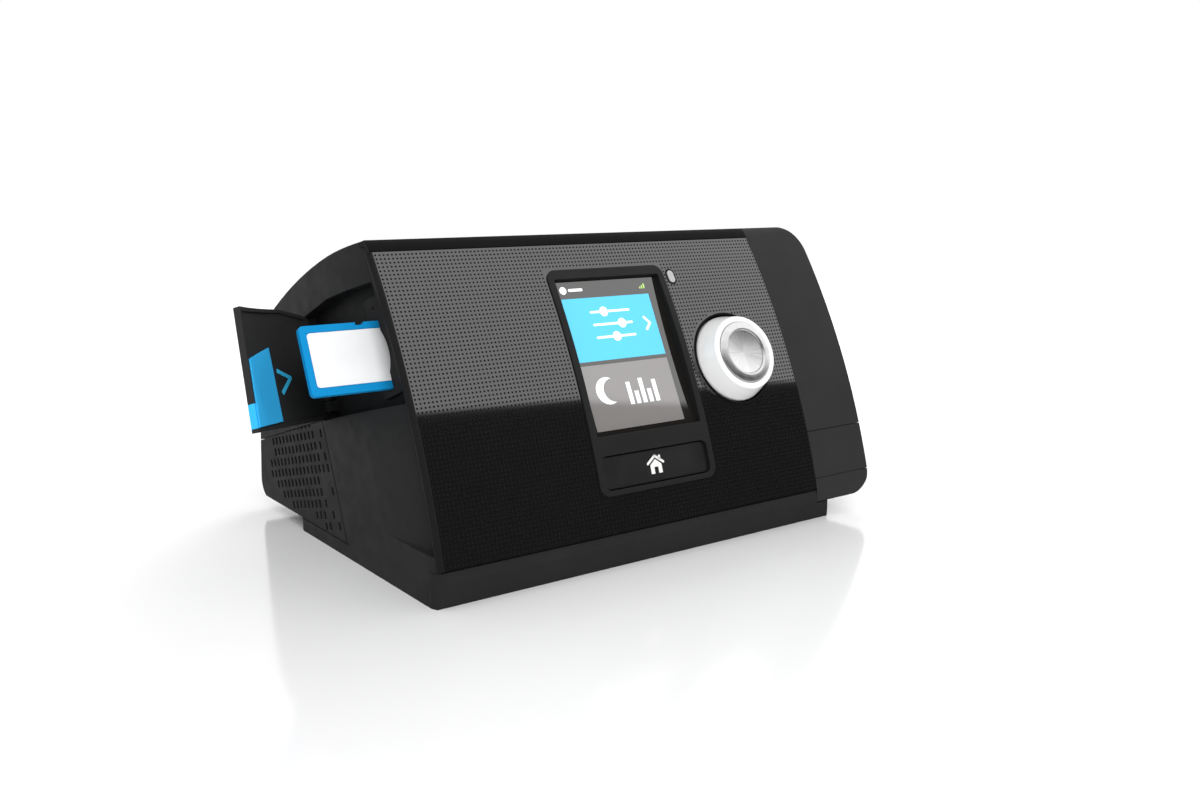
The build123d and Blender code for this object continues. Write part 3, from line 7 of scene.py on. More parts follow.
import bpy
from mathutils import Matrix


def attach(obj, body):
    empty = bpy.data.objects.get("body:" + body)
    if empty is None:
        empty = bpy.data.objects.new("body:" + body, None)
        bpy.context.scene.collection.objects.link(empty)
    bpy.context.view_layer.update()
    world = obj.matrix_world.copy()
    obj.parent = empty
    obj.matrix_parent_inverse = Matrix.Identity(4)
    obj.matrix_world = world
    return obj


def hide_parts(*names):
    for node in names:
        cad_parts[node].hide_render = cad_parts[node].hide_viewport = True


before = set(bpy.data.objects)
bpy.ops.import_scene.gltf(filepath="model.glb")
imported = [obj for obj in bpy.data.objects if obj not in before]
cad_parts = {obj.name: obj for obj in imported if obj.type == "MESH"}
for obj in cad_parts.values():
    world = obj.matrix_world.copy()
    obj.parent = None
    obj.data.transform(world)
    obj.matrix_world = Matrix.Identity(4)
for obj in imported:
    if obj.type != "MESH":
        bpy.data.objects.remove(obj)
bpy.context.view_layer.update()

from math import asin, atan2, cos, degrees, hypot, pi, radians, sin, sqrt

import bmesh
import bpy
from bpy.props import FloatProperty, FloatVectorProperty, IntProperty, PointerProperty
from mathutils import Matrix, Vector

bl_info = {
    "name": "CPAP machine dressing",
    "version": (1, 0, 0),
    "blender": (4, 5, 0),
    "location": "View3D > Sidebar > Machine",
    "description": "Gives a bedside CPAP machine its finishes, screen, dots, dial and stage",
    "category": "Object",
}

MM = 0.001

# ---- sizes shared with the solids, in millimetres --------------------------------------------------
BASE_W, BASE_D = 182.5, 114.0
BODY_W = 173.1
PANEL_FOOT, PANEL_TOP, PANEL_BULGE = (-1.88, 12.58), (43.37, 113.18), 5.26
PANEL_X0, PANEL_Q0, PANEL_Q1 = 2.07, 0.3, 109.0
BEZEL = (67.5, 121.3, 13.3, 98.6)                # x0, x1, q0, q1
GLASS_W, GLASS_L, GLASS_T, GLASS_Q, GLASS_H, GLASS_TILT = 48.2, 60.0, 1.2, 64.6, 1.97, -1.86
GLASS_CORNER_R = 1.6
HOME_Q, HOME_SINK = 21.4, 0.7
DIAL_X, DIAL_Q, WELL_R = 143.0, 57.4, 18.8
KNOB_R, KNOB_TOP_R, KNOB_H, KNOB_SKIRT, KNOB_WALL, KNOB_EDGE_R = 17.3, 14.8, 7.8, 3.2, 1.8, 0.9
RING_R, RING_IN_R, CAP_R, SHAFT_R, SEAT_Z = 12.3, 8.6, 8.5, 3.05, 6.2
SENSOR_X, SENSOR_Q, SENSOR_W, SENSOR_L = 125.1, 93.3, 3.0, 5.2
CARD_X0, CARD_L, CARD_T, CARD_Q, CARD_H = -23.6, 32.0, 2.1, 76.6, -11.6

# ---- sizes of the panel's trim, in millimetres -----------------------------------------------------
DOTS_LEFT, DOTS_RIGHT, DOTS_END = 1.6, 0.6, 1.0  # bare margins of the dotted field
DOTS_ROUND_SCREEN, DOTS_ROUND_DIAL = 0.6, 0.8
BEAD_R, BEAD_DEPTH = 1.3, 0.95
SENSOR_RIM_W, SENSOR_RIM_Z, SENSOR_GAP = 0.75, (-0.1, 0.12), 0.02

# ---- layout of the screen, in millimetres from its middle ------------------------------------------
TILE_X, UPPER_TILE_Y, LOWER_TILE_Y = (-22.0, 18.6), (-1.65, 22.95), (-27.9, -3.15)
TILE_Z, ICON_Z = (-0.05, 0.012), (0.002, 0.024)
SLIDER_X, SLIDER_W, SLIDER_KNOB_R = (-10.5, 7.0), 0.9, 1.9
SLIDERS = [(17.2, -4.6), (12.2, 2.4), (7.2, -1.6)]         # y of a bar, x of its knob
ARROW, ARROW_W = [(13.2, 13.6), (15.4, 11.2), (13.2, 8.8)], 1.0
MOON_X, MOON_Y, MOON_R = -12.6, -13.2, 5.2
MOON_BITE_X, MOON_BITE_R = -9.9, 4.5
STATUS_Y, STATUS_DOT_X, STATUS_DOT_R, STATUS_BAR_X, STATUS_BAR_W = 26.3, -20.2, 1.5, (-17.4, -12.0), 1.1
CHART_AT, SIGNAL_AT = (-3.0, -19.4), (15.4, 25.2)

# ---- the home key's mark, in millimetres from the key's middle -------------------------------------
MARK_Z = (-0.05, 0.03)
HOUSE_W, HOUSE_FOOT, HOUSE_EAVES, HOUSE_TOP = 5.2, -3.0, 0.3, 2.3
DOORWAY_W, DOORWAY_TOP = 1.8, -0.6
ROOF_W, ROOF_EAVES, ROOF_TOP, ROOF_LINE = 7.2, 0.9, 3.5, 0.95
CHIMNEY = (1.7, 2.6, 2.0, 3.6)                   # x0, x1, y0, y1

# ---- profiles of the dial, in millimetres ----------------------------------------------------------
HUB_WALL, HUB_DROP, KNOB_ROOF_DROP = 2.6, 1.0, 0.6
SKIRT_EDGE = 0.3
SHOULDER = [(0.0, -1.2), (0.08, -0.4), (0.25, 0.2)]        # inset and height where the knob turns conical
RECESS = [(0.45, 0.0), (0.12, -0.25)]            # reach past the ring and height under the knob's top
RING_GAP = 0.05
RING_SIDE, RING_EDGE_R = 1.4, 0.5
RING_LIP = [(1.0, 2.5), (0.55, 2.45), (0.15, 2.2), (0.0, 1.8)]     # reach and height of the inner lip
CAP_RIM, CAP_DISH, CAP_STEPS = 1.75, 0.9, 12

# ---- contacts of the memory card, in millimetres ---------------------------------------------------
PADS, PAD_PITCH, PAD_W, PAD_L, PAD_T, PAD_INSET = 8, 2.5, 1.6, 4.2, 0.06, 1.2

# ---- frames -----------------------------------------------------------------------------------------
CHORD = atan2(PANEL_TOP[1] - PANEL_FOOT[1], PANEL_TOP[0] - PANEL_FOOT[0])
CHORD_LEN = hypot(PANEL_TOP[0] - PANEL_FOOT[0], PANEL_TOP[1] - PANEL_FOOT[1])
ARC_R = CHORD_LEN ** 2 / (8 * PANEL_BULGE) + PANEL_BULGE / 2
TO_ROW = Matrix.Scale(MM, 4) @ Matrix.Translation((-BASE_W / 2, -BASE_D / 2, 0))
FRONT = Matrix.Translation((0, *PANEL_FOOT)) @ Matrix.Rotation(CHORD, 4, "X")


def shift(x, y, z=0.0):
    """A move, as a matrix."""
    return Matrix.Translation((x, y, z))


def bulge(q):
    """Height of the front panel's face over its chord at q."""
    return sqrt(ARC_R ** 2 - (q - CHORD_LEN / 2) ** 2) - (ARC_R - PANEL_BULGE)


def on_panel(x, q):
    """The frame that lies on the front panel's face at (x, q)."""
    return FRONT @ shift(x, q, bulge(q)) @ Matrix.Rotation(asin((CHORD_LEN / 2 - q) / ARC_R), 4, "X")


BEZEL_MID = (BEZEL[0] + BEZEL[1]) / 2
GLASS = FRONT @ shift(BEZEL_MID, GLASS_Q, GLASS_H) @ Matrix.Rotation(radians(GLASS_TILT), 4, "X")
HOME = on_panel(BEZEL_MID, HOME_Q) @ shift(0, 0, -HOME_SINK)
DIAL = FRONT @ shift(DIAL_X, DIAL_Q, bulge(DIAL_Q))
CARD = FRONT @ shift(CARD_X0 + CARD_L / 2, CARD_Q, CARD_H)


# ---- settings ---------------------------------------------------------------------------------------
def colour(name, description, default):
    """A colour setting."""
    return FloatVectorProperty(name=name, description=description, default=default, subtype="COLOR",
                               size=3, min=0.0, max=1.0)


def length(name, description, default):
    """A length setting, in metres."""
    return FloatProperty(name=name, description=description, default=default, min=0.0, subtype="DISTANCE",
                         unit="LENGTH", precision=5)


def factor(name, description, default):
    """A plain number from 0 to 10."""
    return FloatProperty(name=name, description=description, default=default, min=0.0, max=10.0)


class CaseSettings(bpy.types.PropertyGroup):
    case_color: colour("Case", "Colour of the moulded case", (0.021, 0.021, 0.0212))
    roof_color: colour("Roof strip", "Colour of the strip over the front panel", (0.007, 0.007, 0.007))
    # painted light: lighter than case_color though the tub is the same charcoal plastic, to brighten its lit
    # faces
    tub_painted_light_color: colour("Tub", "Colour of the water tub", (0.030, 0.030, 0.0298))
    inside_color: colour("Inside", "Colour of the inner mouldings", (0.05, 0.051, 0.053))
    edge: length("Edge", "Radius of the case's softened edges", 0.0004)
    grain: length("Grain", "Size of the moulded grain", 0.0003)
    grain_depth: factor("Grain depth", "Strength of the moulded grain", 0.12)


class PanelSettings(bpy.types.PropertyGroup):
    panel_color: colour("Panel", "Colour of the front panel", (0.006, 0.006, 0.006))
    dot_color: colour("Dots", "Colour of the printed dots", (0.006, 0.006, 0.006))
    dot_pitch: length("Dot pitch", "Distance from dot to dot", 0.00152)
    dot_size: length("Dot size", "Width of a dot", 0.00096)
    dot_height: length("Dot height", "How far a dot stands out", 0.00005)


class ScreenSettings(bpy.types.PropertyGroup):
    tile_color: colour("Upper tile", "Colour of the screen's upper tile", (0.004, 0.44, 0.68))
    lower_color: colour("Lower tile", "Colour of the screen's lower tile", (0.20, 0.19, 0.185))
    backdrop_color: colour("Backdrop", "Colour around the tiles", (0.012, 0.011, 0.010))
    icon_color: colour("Icons", "Colour of the icons", (0.9, 0.93, 0.95))
    glow: factor("Glow", "How strongly the upper tile and the icons shine", 0.35)
    lower_glow: factor("Lower glow", "How strongly the lower tile shines", 0.15)


class DialSettings(bpy.types.PropertyGroup):
    knob_color: colour("Knob", "Colour of the knob", (0.93, 0.93, 0.925))
    chrome_color: colour("Ring", "Colour of the ring", (0.52, 0.52, 0.525))
    disc_color: colour("Disc", "Colour of the brushed disc", (0.72, 0.72, 0.725))
    steps: IntProperty(name="Steps", description="Facets round the dial", default=96, min=24, max=256)


class CardSettings(bpy.types.PropertyGroup):
    # painted light: lighter than case_color though the door is the same plastic, to brighten the door's
    # shaded inner face
    door_painted_light_color: colour("Door", "Colour of the card door", (0.030, 0.030, 0.0302))
    latch_color: colour("Latch", "Colour of the door's finger tab", (0.045, 0.50, 0.96))
    card_color: colour("Card", "Colour of the memory card", (0.008, 0.26, 0.58))
    label_color: colour("Label", "Colour of the card's label", (0.84, 0.85, 0.86))


class StageSettings(bpy.types.PropertyGroup):
    floor_color: colour("Floor", "Colour of the floor", (0.96, 0.96, 0.961))
    sky: factor("Sky", "Brightness of the ceiling light on plain surfaces", 0.75)
    fill: factor("Fill", "Brightness of the dim half of the room", 0.7)
    sheen: factor("Sheen", "Brightness of the ceiling light in reflections", 1.8)
    key: factor("Key lamp", "Power of the soft lamp in front, in watts", 7.0)
    rear: factor("Rear lamp", "Power of the soft lamp behind, in watts", 3.0)
    lens: FloatProperty(name="Lens", description="Focal length of the camera", default=34.33, min=10.0,
                        subtype="DISTANCE_CAMERA")


# ---- finishes ---------------------------------------------------------------------------------------
def add_node(tree, kind, values=(), **settings):
    """A node with its settings and its inputs' values, where a value may be another node's output."""
    node = tree.nodes.new(kind)
    for key, value in settings.items():
        setattr(node, key, value)
    for key, value in dict(values).items():
        if hasattr(value, "is_output"):
            tree.links.new(value, node.inputs[key])
        else:
            node.inputs[key].default_value = value
    return node


class Finish:
    """A material and the nodes that make it."""

    def __init__(self, name, color, roughness, **sockets):
        self.material = bpy.data.materials.new(name)
        self.material.use_nodes = True
        self.nodes = self.material.node_tree.nodes
        self.shader = self.nodes["Principled BSDF"]
        self.normal = None
        self.shader.inputs["Base Color"].default_value = (*color, 1.0)
        self.shader.inputs["Roughness"].default_value = roughness
        for socket, value in sockets.items():
            self.shader.inputs[socket.replace("_", " ")].default_value = value

    def link(self, out, into):
        """Links an output to an input."""
        self.material.node_tree.links.new(out, into)

    def add(self, kind, values=(), **settings):
        """A shader node with its settings and its inputs' values."""
        return add_node(self.material.node_tree, "ShaderNode" + kind, values, **settings)

    def coordinates(self):
        """Places in the object's own metres."""
        return self.add("TexCoord").outputs["Object"]

    def noise(self, size, detail=2.0, vector=None):
        """Noise of a given grain size in metres."""
        where = vector or self.coordinates()
        return self.add("TexNoise", {"Vector": where, "Scale": 1.0 / size, "Detail": detail}).outputs["Fac"]

    def spread(self, value, low=0.0, high=1.0):
        """The middle of a noise's range, spread from low to high."""
        ranges = {"Value": value, "From Min": 0.3, "From Max": 0.7, "To Min": low, "To Max": high}
        return self.add("MapRange", ranges).outputs[0]

    def blend(self, share, low, high):
        """The base colour goes from low to high with the share."""
        mix = self.add("Mix", {0: share, 6: (*low, 1.0), 7: (*high, 1.0)}, data_type="RGBA")
        self.link(mix.outputs[2], self.shader.inputs["Base Color"])
        return self

    def mottle(self, color, amount, size):
        """The colour varies a little over the piece."""
        low = [c * (1 - amount) for c in color]
        high = [min(1.0, c * (1 + amount)) for c in color]
        return self.blend(self.spread(self.noise(size)), low, high)

    def rounded(self, radius):
        """Edges catch the light as if they were rounded."""
        self.normal = self.add("Bevel", {"Radius": radius}, samples=6).outputs[0]
        self.link(self.normal, self.shader.inputs["Normal"])
        return self

    def bump(self, height, strength, distance):
        """A relief from a height output."""
        values = {"Height": height, "Strength": strength, "Distance": distance}
        if self.normal:
            values["Normal"] = self.normal
        self.normal = self.add("Bump", values).outputs[0]
        self.link(self.normal, self.shader.inputs["Normal"])
        return self

    def vary_roughness(self, low, high, size):
        """The roughness varies over the piece."""
        self.link(self.spread(self.noise(size, 3.0), low, high), self.shader.inputs["Roughness"])
        return self


def moulded(name, color, roughness=0.5, edge=0.0004, grain=0.0003, depth=0.12, level=0.03):
    """Plain moulded plastic with a fine grain and soft edges."""
    finish = Finish(name, color, roughness, Specular_IOR_Level=level)
    finish.mottle(color, 0.06, 0.02).rounded(edge)
    finish.bump(finish.noise(grain, 3.0), depth, 0.0001)
    return finish.vary_roughness(roughness - 0.05, roughness + 0.06, 0.006).material


def gloss(name, color, roughness=0.08, edge=0.0003, level=0.5):
    """Glossy plastic with a barely uneven surface."""
    finish = Finish(name, color, roughness, Specular_IOR_Level=level)
    finish.mottle(color, 0.03, 0.03).rounded(edge)
    finish.bump(finish.noise(0.004, 1.0), 0.02, 0.0001)
    return finish.material


def metal(name, color, roughness=0.3, edge=0.0002, brush=(1.0, 1.0, 1.0)):
    """Metal with a fine brushed relief, stretched along an axis."""
    finish = Finish(name, color, roughness, Metallic=1.0)
    finish.mottle(color, 0.05, 0.004).rounded(edge)
    mapping = finish.add("Mapping", {"Vector": finish.coordinates(), "Scale": brush})
    finish.bump(finish.noise(0.0004, 2.0, mapping.outputs[0]), 0.08, 0.00005)
    return finish.vary_roughness(roughness * 0.8, roughness * 1.2, 0.003).material


def rubber(name, color, roughness=0.75):
    """Soft rubber or silicone."""
    finish = Finish(name, color, roughness, Specular_IOR_Level=0.25)
    finish.mottle(color, 0.1, 0.008)
    finish.bump(finish.noise(0.0006, 4.0), 0.2, 0.0001)
    return finish.material


def foam(name, color):
    """Open-celled foam or filter fleece."""
    finish = Finish(name, color, 0.95, Specular_IOR_Level=0.1)
    cells = finish.add("TexVoronoi", {"Vector": finish.coordinates(), "Scale": 900.0})
    finish.mottle(color, 0.25, 0.0012)
    return finish.bump(cells.outputs["Distance"], 0.6, 0.0004).material


def circuit_board(name, color):
    """A board with tracks under its solder mask."""
    finish = Finish(name, color, 0.35)
    red, green, blue = color
    dull, bright = (red * 0.7, green * 0.8, blue, 1.0), (red * 2, green * 1.5, blue * 1.5, 1.0)
    tracks = finish.add("TexBrick", {"Vector": finish.coordinates(), "Scale": 160.0, "Mortar Size": 0.03,
                                     "Color1": (*color, 1.0), "Color2": dull, "Mortar": bright})
    finish.link(tracks.outputs["Color"], finish.shader.inputs["Base Color"])
    return finish.bump(tracks.outputs["Fac"], 0.2, 0.00005).material


def windings(name, color):
    """Copper wire wound on teeth."""
    finish = Finish(name, color, 0.3, Metallic=1.0)
    wave = finish.add("TexWave", {"Vector": finish.coordinates(), "Scale": 500.0}, bands_direction="Z")
    finish.mottle(color, 0.12, 0.002)
    return finish.bump(wave.outputs["Fac"], 0.5, 0.0002).material


SHEET_TURN = 3.0


def screen_finish(name, color, glow=0.0):
    """A lit area behind clear gloss that shines as if it lay a few degrees flatter than its face."""
    finish = Finish(name, color, 0.03, IOR=1.88, Emission_Color=(*color, 1.0), Emission_Strength=glow)
    finish.mottle(color, 0.02, 0.02)
    facing = finish.add("NewGeometry").outputs["Normal"]
    turn = finish.add("VectorRotate", {"Vector": facing, "Angle": radians(SHEET_TURN)},
                      rotation_type="X_AXIS")
    finish.link(turn.outputs[0], finish.shader.inputs["Normal"])
    return finish.material


def brushed_disc(name, color, where):
    """Metal turned about its own axis, brushed from the middle outwards."""
    finish = Finish(name, color, 0.42, Metallic=1.0, Anisotropic=0.45)
    centre = TO_ROW @ where @ Vector((0, 0, SEAT_Z))
    axis = (where.to_3x3() @ Vector((0, 0, 1))).normalized()
    arm = finish.add("VectorMath", {0: finish.coordinates(), 1: centre}, operation="SUBTRACT").outputs[0]
    side = finish.add("VectorMath", {0: arm, 1: axis}, operation="CROSS_PRODUCT").outputs[0]
    spoke = finish.add("VectorMath", {0: side}, operation="NORMALIZE").outputs[0]
    finish.link(spoke, finish.shader.inputs["Tangent"])
    streaks = finish.add("TexNoise", {"Vector": spoke, "Scale": 26.0, "Detail": 4.0}).outputs["Fac"]
    finish.blend(finish.spread(streaks), [c * 0.7 for c in color], color)
    return finish.bump(streaks, 0.12, 0.0001).material


def panel_finish(name, color):
    """The front panel's high gloss."""
    return Finish(name, color, 0.06, IOR=1.76).mottle(color, 0.05, 0.03).material


# ---- mesh helpers -----------------------------------------------------------------------------------
def publish(name, bm, body, material, slot=None, stands_for=(), sharp=35.0):
    """Turns a bmesh in the row frame into a piece that rides on a body."""
    bmesh.ops.remove_doubles(bm, verts=bm.verts, dist=1e-7)
    bmesh.ops.recalc_face_normals(bm, faces=bm.faces)
    mesh = bpy.data.meshes.new(name)
    bm.to_mesh(mesh)
    bm.free()
    return publish_mesh(name, mesh, body, material, slot, stands_for, sharp)


def publish_mesh(name, mesh, body, material, slot=None, stands_for=(), sharp=35.0):
    """Turns a mesh in the row frame into a piece that rides on a body."""
    mesh.shade_smooth()
    mesh.set_sharp_from_angle(angle=radians(sharp))
    mesh.materials.clear()
    mesh.materials.append(material)
    piece = bpy.data.objects.new(name, mesh)
    bpy.context.scene.collection.objects.link(piece)
    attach(piece, body)
    if stands_for:
        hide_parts(*stands_for)
    return piece


def ring_of(bm, points, z):
    """Vertices at the points, all at height z."""
    return [bm.verts.new((x, y, z)) for x, y in points]


def arc(x, y, r, angles):
    """Points on a circle about (x, y), at angles in degrees."""
    return [(x + r * cos(radians(a)), y + r * sin(radians(a))) for a in angles]


def plate(bm, points, z0, z1):
    """A closed outline in the local plane, given a thickness."""
    low, high = ring_of(bm, points, z0), ring_of(bm, points, z1)
    count = len(points)
    bm.faces.new(high)
    bm.faces.new(low[::-1])
    for k in range(count):
        bm.faces.new((low[k], low[(k + 1) % count], high[(k + 1) % count], high[k]))


def box_plate(bm, x0, x1, y0, y1, z0, z1, r=0.0):
    """A rectangle with rounded corners, given a thickness."""
    if not r:
        return plate(bm, [(x0, y0), (x1, y0), (x1, y1), (x0, y1)], z0, z1)
    corners = [(x1 - r, y1 - r, 0), (x0 + r, y1 - r, 90), (x0 + r, y0 + r, 180), (x1 - r, y0 + r, 270)]
    points = [spot for x, y, start in corners for spot in arc(x, y, r, range(start, start + 91, 18))]
    return plate(bm, points, z0, z1)


def slot_outline(r, reach):
    """A closed outline with round ends, whose centres lie at reach above and below the middle."""
    upper, lower = arc(0, reach, r, range(0, 181, 12)), arc(0, -reach, r, range(192, 360, 12))
    return upper + lower


def band(bm, inner, outer, z0, z1):
    """A flat ring between two closed outlines of as many points."""
    rings = [ring_of(bm, points, z) for points, z in ((inner, z0), (outer, z0), (outer, z1), (inner, z1))]
    for a, b in zip(rings, rings[1:] + rings[:1]):
        for k in range(len(a)):
            bm.faces.new((a[k - 1], a[k], b[k], b[k - 1]))


def bead(bm, x, r, depth, steps=60, sides=16):
    """A round bead along the front panel's side edge, sunk by depth, already in the row frame."""
    rings = []
    for k in range(steps + 1):
        where = TO_ROW @ on_panel(x, PANEL_Q0 + (PANEL_Q1 - PANEL_Q0) * k / steps)
        turns = [2 * pi * j / sides for j in range(sides)]
        rings.append([bm.verts.new(where @ Vector((r * cos(a), 0, r * sin(a) - depth))) for a in turns])
    for a, b in zip(rings, rings[1:]):
        for k in range(sides):
            bm.faces.new((a[k - 1], a[k], b[k], b[k - 1]))
    bm.faces.new(rings[0])
    bm.faces.new(rings[-1])


def disc(bm, x, y, r, z0, z1, steps=24):
    """A round plate."""
    plate(bm, arc(x, y, r, [360 * k / steps for k in range(steps)]), z0, z1)


def stroke(bm, a, b, width, z0, z1):
    """A straight bar with round ends."""
    angle = degrees(atan2(b[1] - a[1], b[0] - a[0]))
    ends = arc(*b, width / 2, [angle + t for t in range(-90, 91, 30)])
    ends += arc(*a, width / 2, [angle + t for t in range(90, 271, 30)])
    plate(bm, ends, z0, z1)


def edge_arc(r, top, radius, angles):
    """Points of a turned outline's rounded outer edge, from its side to its top."""
    return arc(r - radius, top - radius, radius, angles)


def lathe(bm, outline, steps):
    """A closed (radius, height) outline turned about the local z axis."""
    rings = []
    for r, z in outline:
        if r < 1e-6:
            rings.append([bm.verts.new((0, 0, z))])
        else:
            rings.append([bm.verts.new((r * cos(2 * pi * k / steps), r * sin(2 * pi * k / steps), z))
                          for k in range(steps)])
    count = len(rings)
    for i in range(count):
        a, b = rings[i], rings[(i + 1) % count]
        for k in range(steps):
            corners = [a[k % len(a)], a[(k + 1) % len(a)], b[(k + 1) % len(b)], b[k % len(b)]]
            unique = list(dict.fromkeys(corners))
            if len(unique) > 2:
                bm.faces.new(unique)


def placed(bm, where):
    """Moves a bmesh in local millimetres to the row frame."""
    bm.transform(TO_ROW @ where)
    return bm


def finish_nodes(material, *nodes):
    """Gives CAD nodes that stay a finish."""
    for node in nodes:
        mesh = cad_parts[node].data
        mesh.materials.clear()
        mesh.materials.append(material)


# ---- geometry nodes ---------------------------------------------------------------------------------
class Tree:
    """A geometry node tree with named inputs."""

    def __init__(self, name, sockets):
        self.tree = bpy.data.node_groups.new(name, "GeometryNodeTree")
        for label, kind, value in sockets:
            self.socket(label, "INPUT", kind).default_value = value
        self.socket("Geometry", "OUTPUT", "Geometry")
        self.given = self.tree.nodes.new("NodeGroupInput").outputs
        self.result = self.tree.nodes.new("NodeGroupOutput").inputs

    def socket(self, label, side, kind):
        """A new named socket on the tree's input or output side."""
        return self.tree.interface.new_socket(name=label, in_out=side, socket_type="NodeSocket" + kind)

    def add(self, kind, values=(), **settings):
        """A node with its settings and its inputs' values."""
        return add_node(self.tree, kind, values, **settings)

    def math(self, operation, a, b=0.0):
        """The result of a sum on one or two values."""
        return self.add("ShaderNodeMath", {0: a, 1: b}, operation=operation).outputs[0]

    def close(self, geometry, material):
        """Ends the tree in plain, finished faces."""
        real = self.add("GeometryNodeRealizeInstances", {"Geometry": geometry})
        done = self.add("GeometryNodeSetMaterial", {"Geometry": real.outputs[0], "Material": material})
        self.tree.links.new(done.outputs[0], self.result["Geometry"])

    def make(self, values):
        """The tree's result as a plain mesh, for the given inputs."""
        holder = bpy.data.objects.new(self.tree.name, bpy.data.meshes.new(self.tree.name))
        bpy.context.scene.collection.objects.link(holder)
        modifier = holder.modifiers.new("shape", "NODES")
        modifier.node_group = self.tree
        for item in self.tree.interface.items_tree:
            if item.in_out == "INPUT" and item.name in values:
                modifier[item.identifier] = values[item.name]
        graph = bpy.context.evaluated_depsgraph_get()
        mesh = bpy.data.meshes.new_from_object(holder.evaluated_get(graph))
        holder.modifiers.remove(modifier)
        bpy.data.objects.remove(holder)
        return mesh


def dots_tree(material):
    """Dots on a square grid that follows a bulged panel and leaves its openings free."""
    made = Tree("panel_dots", [("Width", "Float", 170.0), ("Length", "Float", 109.0), ("Pitch", "Float", 1.5),
                               ("Dot Size", "Float", 0.8), ("Dot Height", "Float", 0.05),
                               ("Panel Radius", "Float", 290.0), ("Bulge", "Float", 5.0),
                               ("Middle", "Float", 55.0), ("Screen X", "Float", 0.0),
                               ("Screen Width", "Float", 50.0), ("Screen Y", "Float", 0.0),
                               ("Screen Length", "Float", 80.0), ("Dial X", "Float", 0.0),
                               ("Dial Y", "Float", 0.0), ("Dial Radius", "Float", 19.0)])
    given, math = made.given, made.math
    counts = [math("ADD", math("FLOOR", math("DIVIDE", given[side], given["Pitch"])), 1.0)
              for side in ("Width", "Length")]
    sizes = [math("MULTIPLY", math("SUBTRACT", count, 1.0), given["Pitch"]) for count in counts]
    grid = made.add("GeometryNodeMeshGrid", {"Size X": sizes[0], "Size Y": sizes[1], "Vertices X": counts[0],
                                             "Vertices Y": counts[1]})
    place = made.add("ShaderNodeSeparateXYZ", {0: made.add("GeometryNodeInputPosition").outputs[0]}).outputs
    apart = math("ADD", place["Y"], math("SUBTRACT", math("DIVIDE", given["Length"], 2.0), given["Middle"]))
    rise = math("SUBTRACT", math("POWER", given["Panel Radius"], 2.0), math("POWER", apart, 2.0))
    height = math("SUBTRACT", math("SQRT", rise), math("SUBTRACT", given["Panel Radius"], given["Bulge"]))
    lift = made.add("ShaderNodeCombineXYZ", {"Z": height}).outputs[0]
    bent = made.add("GeometryNodeSetPosition", {"Geometry": grid.outputs["Mesh"], "Offset": lift})
    inside = []
    for axis, at, size in (("X", "Screen X", "Screen Width"), ("Y", "Screen Y", "Screen Length")):
        far = math("ABSOLUTE", math("SUBTRACT", place[axis], given[at]))
        inside.append(math("LESS_THAN", far, math("DIVIDE", given[size], 2.0)))
    screen = math("MULTIPLY", *inside)
    across = math("POWER", math("SUBTRACT", place["X"], given["Dial X"]), 2.0)
    along = math("POWER", math("SUBTRACT", place["Y"], given["Dial Y"]), 2.0)
    dial = math("LESS_THAN", math("SQRT", math("ADD", across, along)), given["Dial Radius"])
    kept = made.add("GeometryNodeDeleteGeometry", {"Geometry": bent.outputs[0],
                                                   "Selection": math("MAXIMUM", screen, dial)})
    bottom = math("DIVIDE", given["Dot Size"], 2.0)
    dot = made.add("GeometryNodeMeshCone", {"Vertices": 6, "Radius Bottom": bottom,
                                            "Radius Top": math("MULTIPLY", bottom, 0.8),
                                            "Depth": math("MULTIPLY", given["Dot Height"], 3.0)})
    seat = made.add("ShaderNodeCombineXYZ", {"Z": math("MULTIPLY", given["Dot Height"], -2.0)}).outputs[0]
    sunk = made.add("GeometryNodeTransform", {"Geometry": dot.outputs["Mesh"], "Translation": seat})
    turn = made.add("FunctionNodeAlignRotationToVector",
                    {"Vector": made.add("GeometryNodeInputNormal").outputs[0]}, axis="Z")
    spread = made.add("GeometryNodeInstanceOnPoints", {"Points": kept.outputs[0], "Instance": sunk.outputs[0],
                                                       "Rotation": turn.outputs[0]})
    made.close(spread.outputs[0], material)
    return made


def row_tree(name, material):
    """A row of bars that may grow from one end to the other."""
    made = Tree(name, [("Count", "Int", 5), ("Pitch", "Float", 2.0), ("Width", "Float", 1.0),
                       ("Length", "Float", 4.0), ("Thickness", "Float", 0.2), ("Growth", "Float", 0.0),
                       ("Unevenness", "Float", 0.0), ("Seed", "Int", 3)])
    given, math = made.given, made.math
    step = made.add("ShaderNodeCombineXYZ", {"X": given["Pitch"]}).outputs[0]
    line = made.add("GeometryNodeMeshLine", {"Count": given["Count"], "Offset": step})
    index = made.add("GeometryNodeInputIndex").outputs[0]
    chance = made.add("FunctionNodeRandomValue", {"ID": index, "Seed": given["Seed"]}, data_type="FLOAT")
    uneven = math("MULTIPLY", chance.outputs[1], given["Unevenness"])
    tall = math("ADD", math("ADD", given["Length"], uneven), math("MULTIPLY", index, given["Growth"]))
    section = {"X": given["Width"], "Y": 1.0, "Z": given["Thickness"]}
    size = made.add("ShaderNodeCombineXYZ", section).outputs[0]
    cube = made.add("GeometryNodeMeshCube", {"Size": size})
    half = (0.0, 0.5, 0.0)
    foot = made.add("GeometryNodeTransform", {"Geometry": cube.outputs["Mesh"], "Translation": half})
    scale = made.add("ShaderNodeCombineXYZ", {"X": 1.0, "Y": tall, "Z": 1.0}).outputs[0]
    bars = made.add("GeometryNodeInstanceOnPoints", {"Points": line.outputs[0], "Instance": foot.outputs[0],
                                                     "Scale": scale})
    made.close(bars.outputs[0], material)
    return made


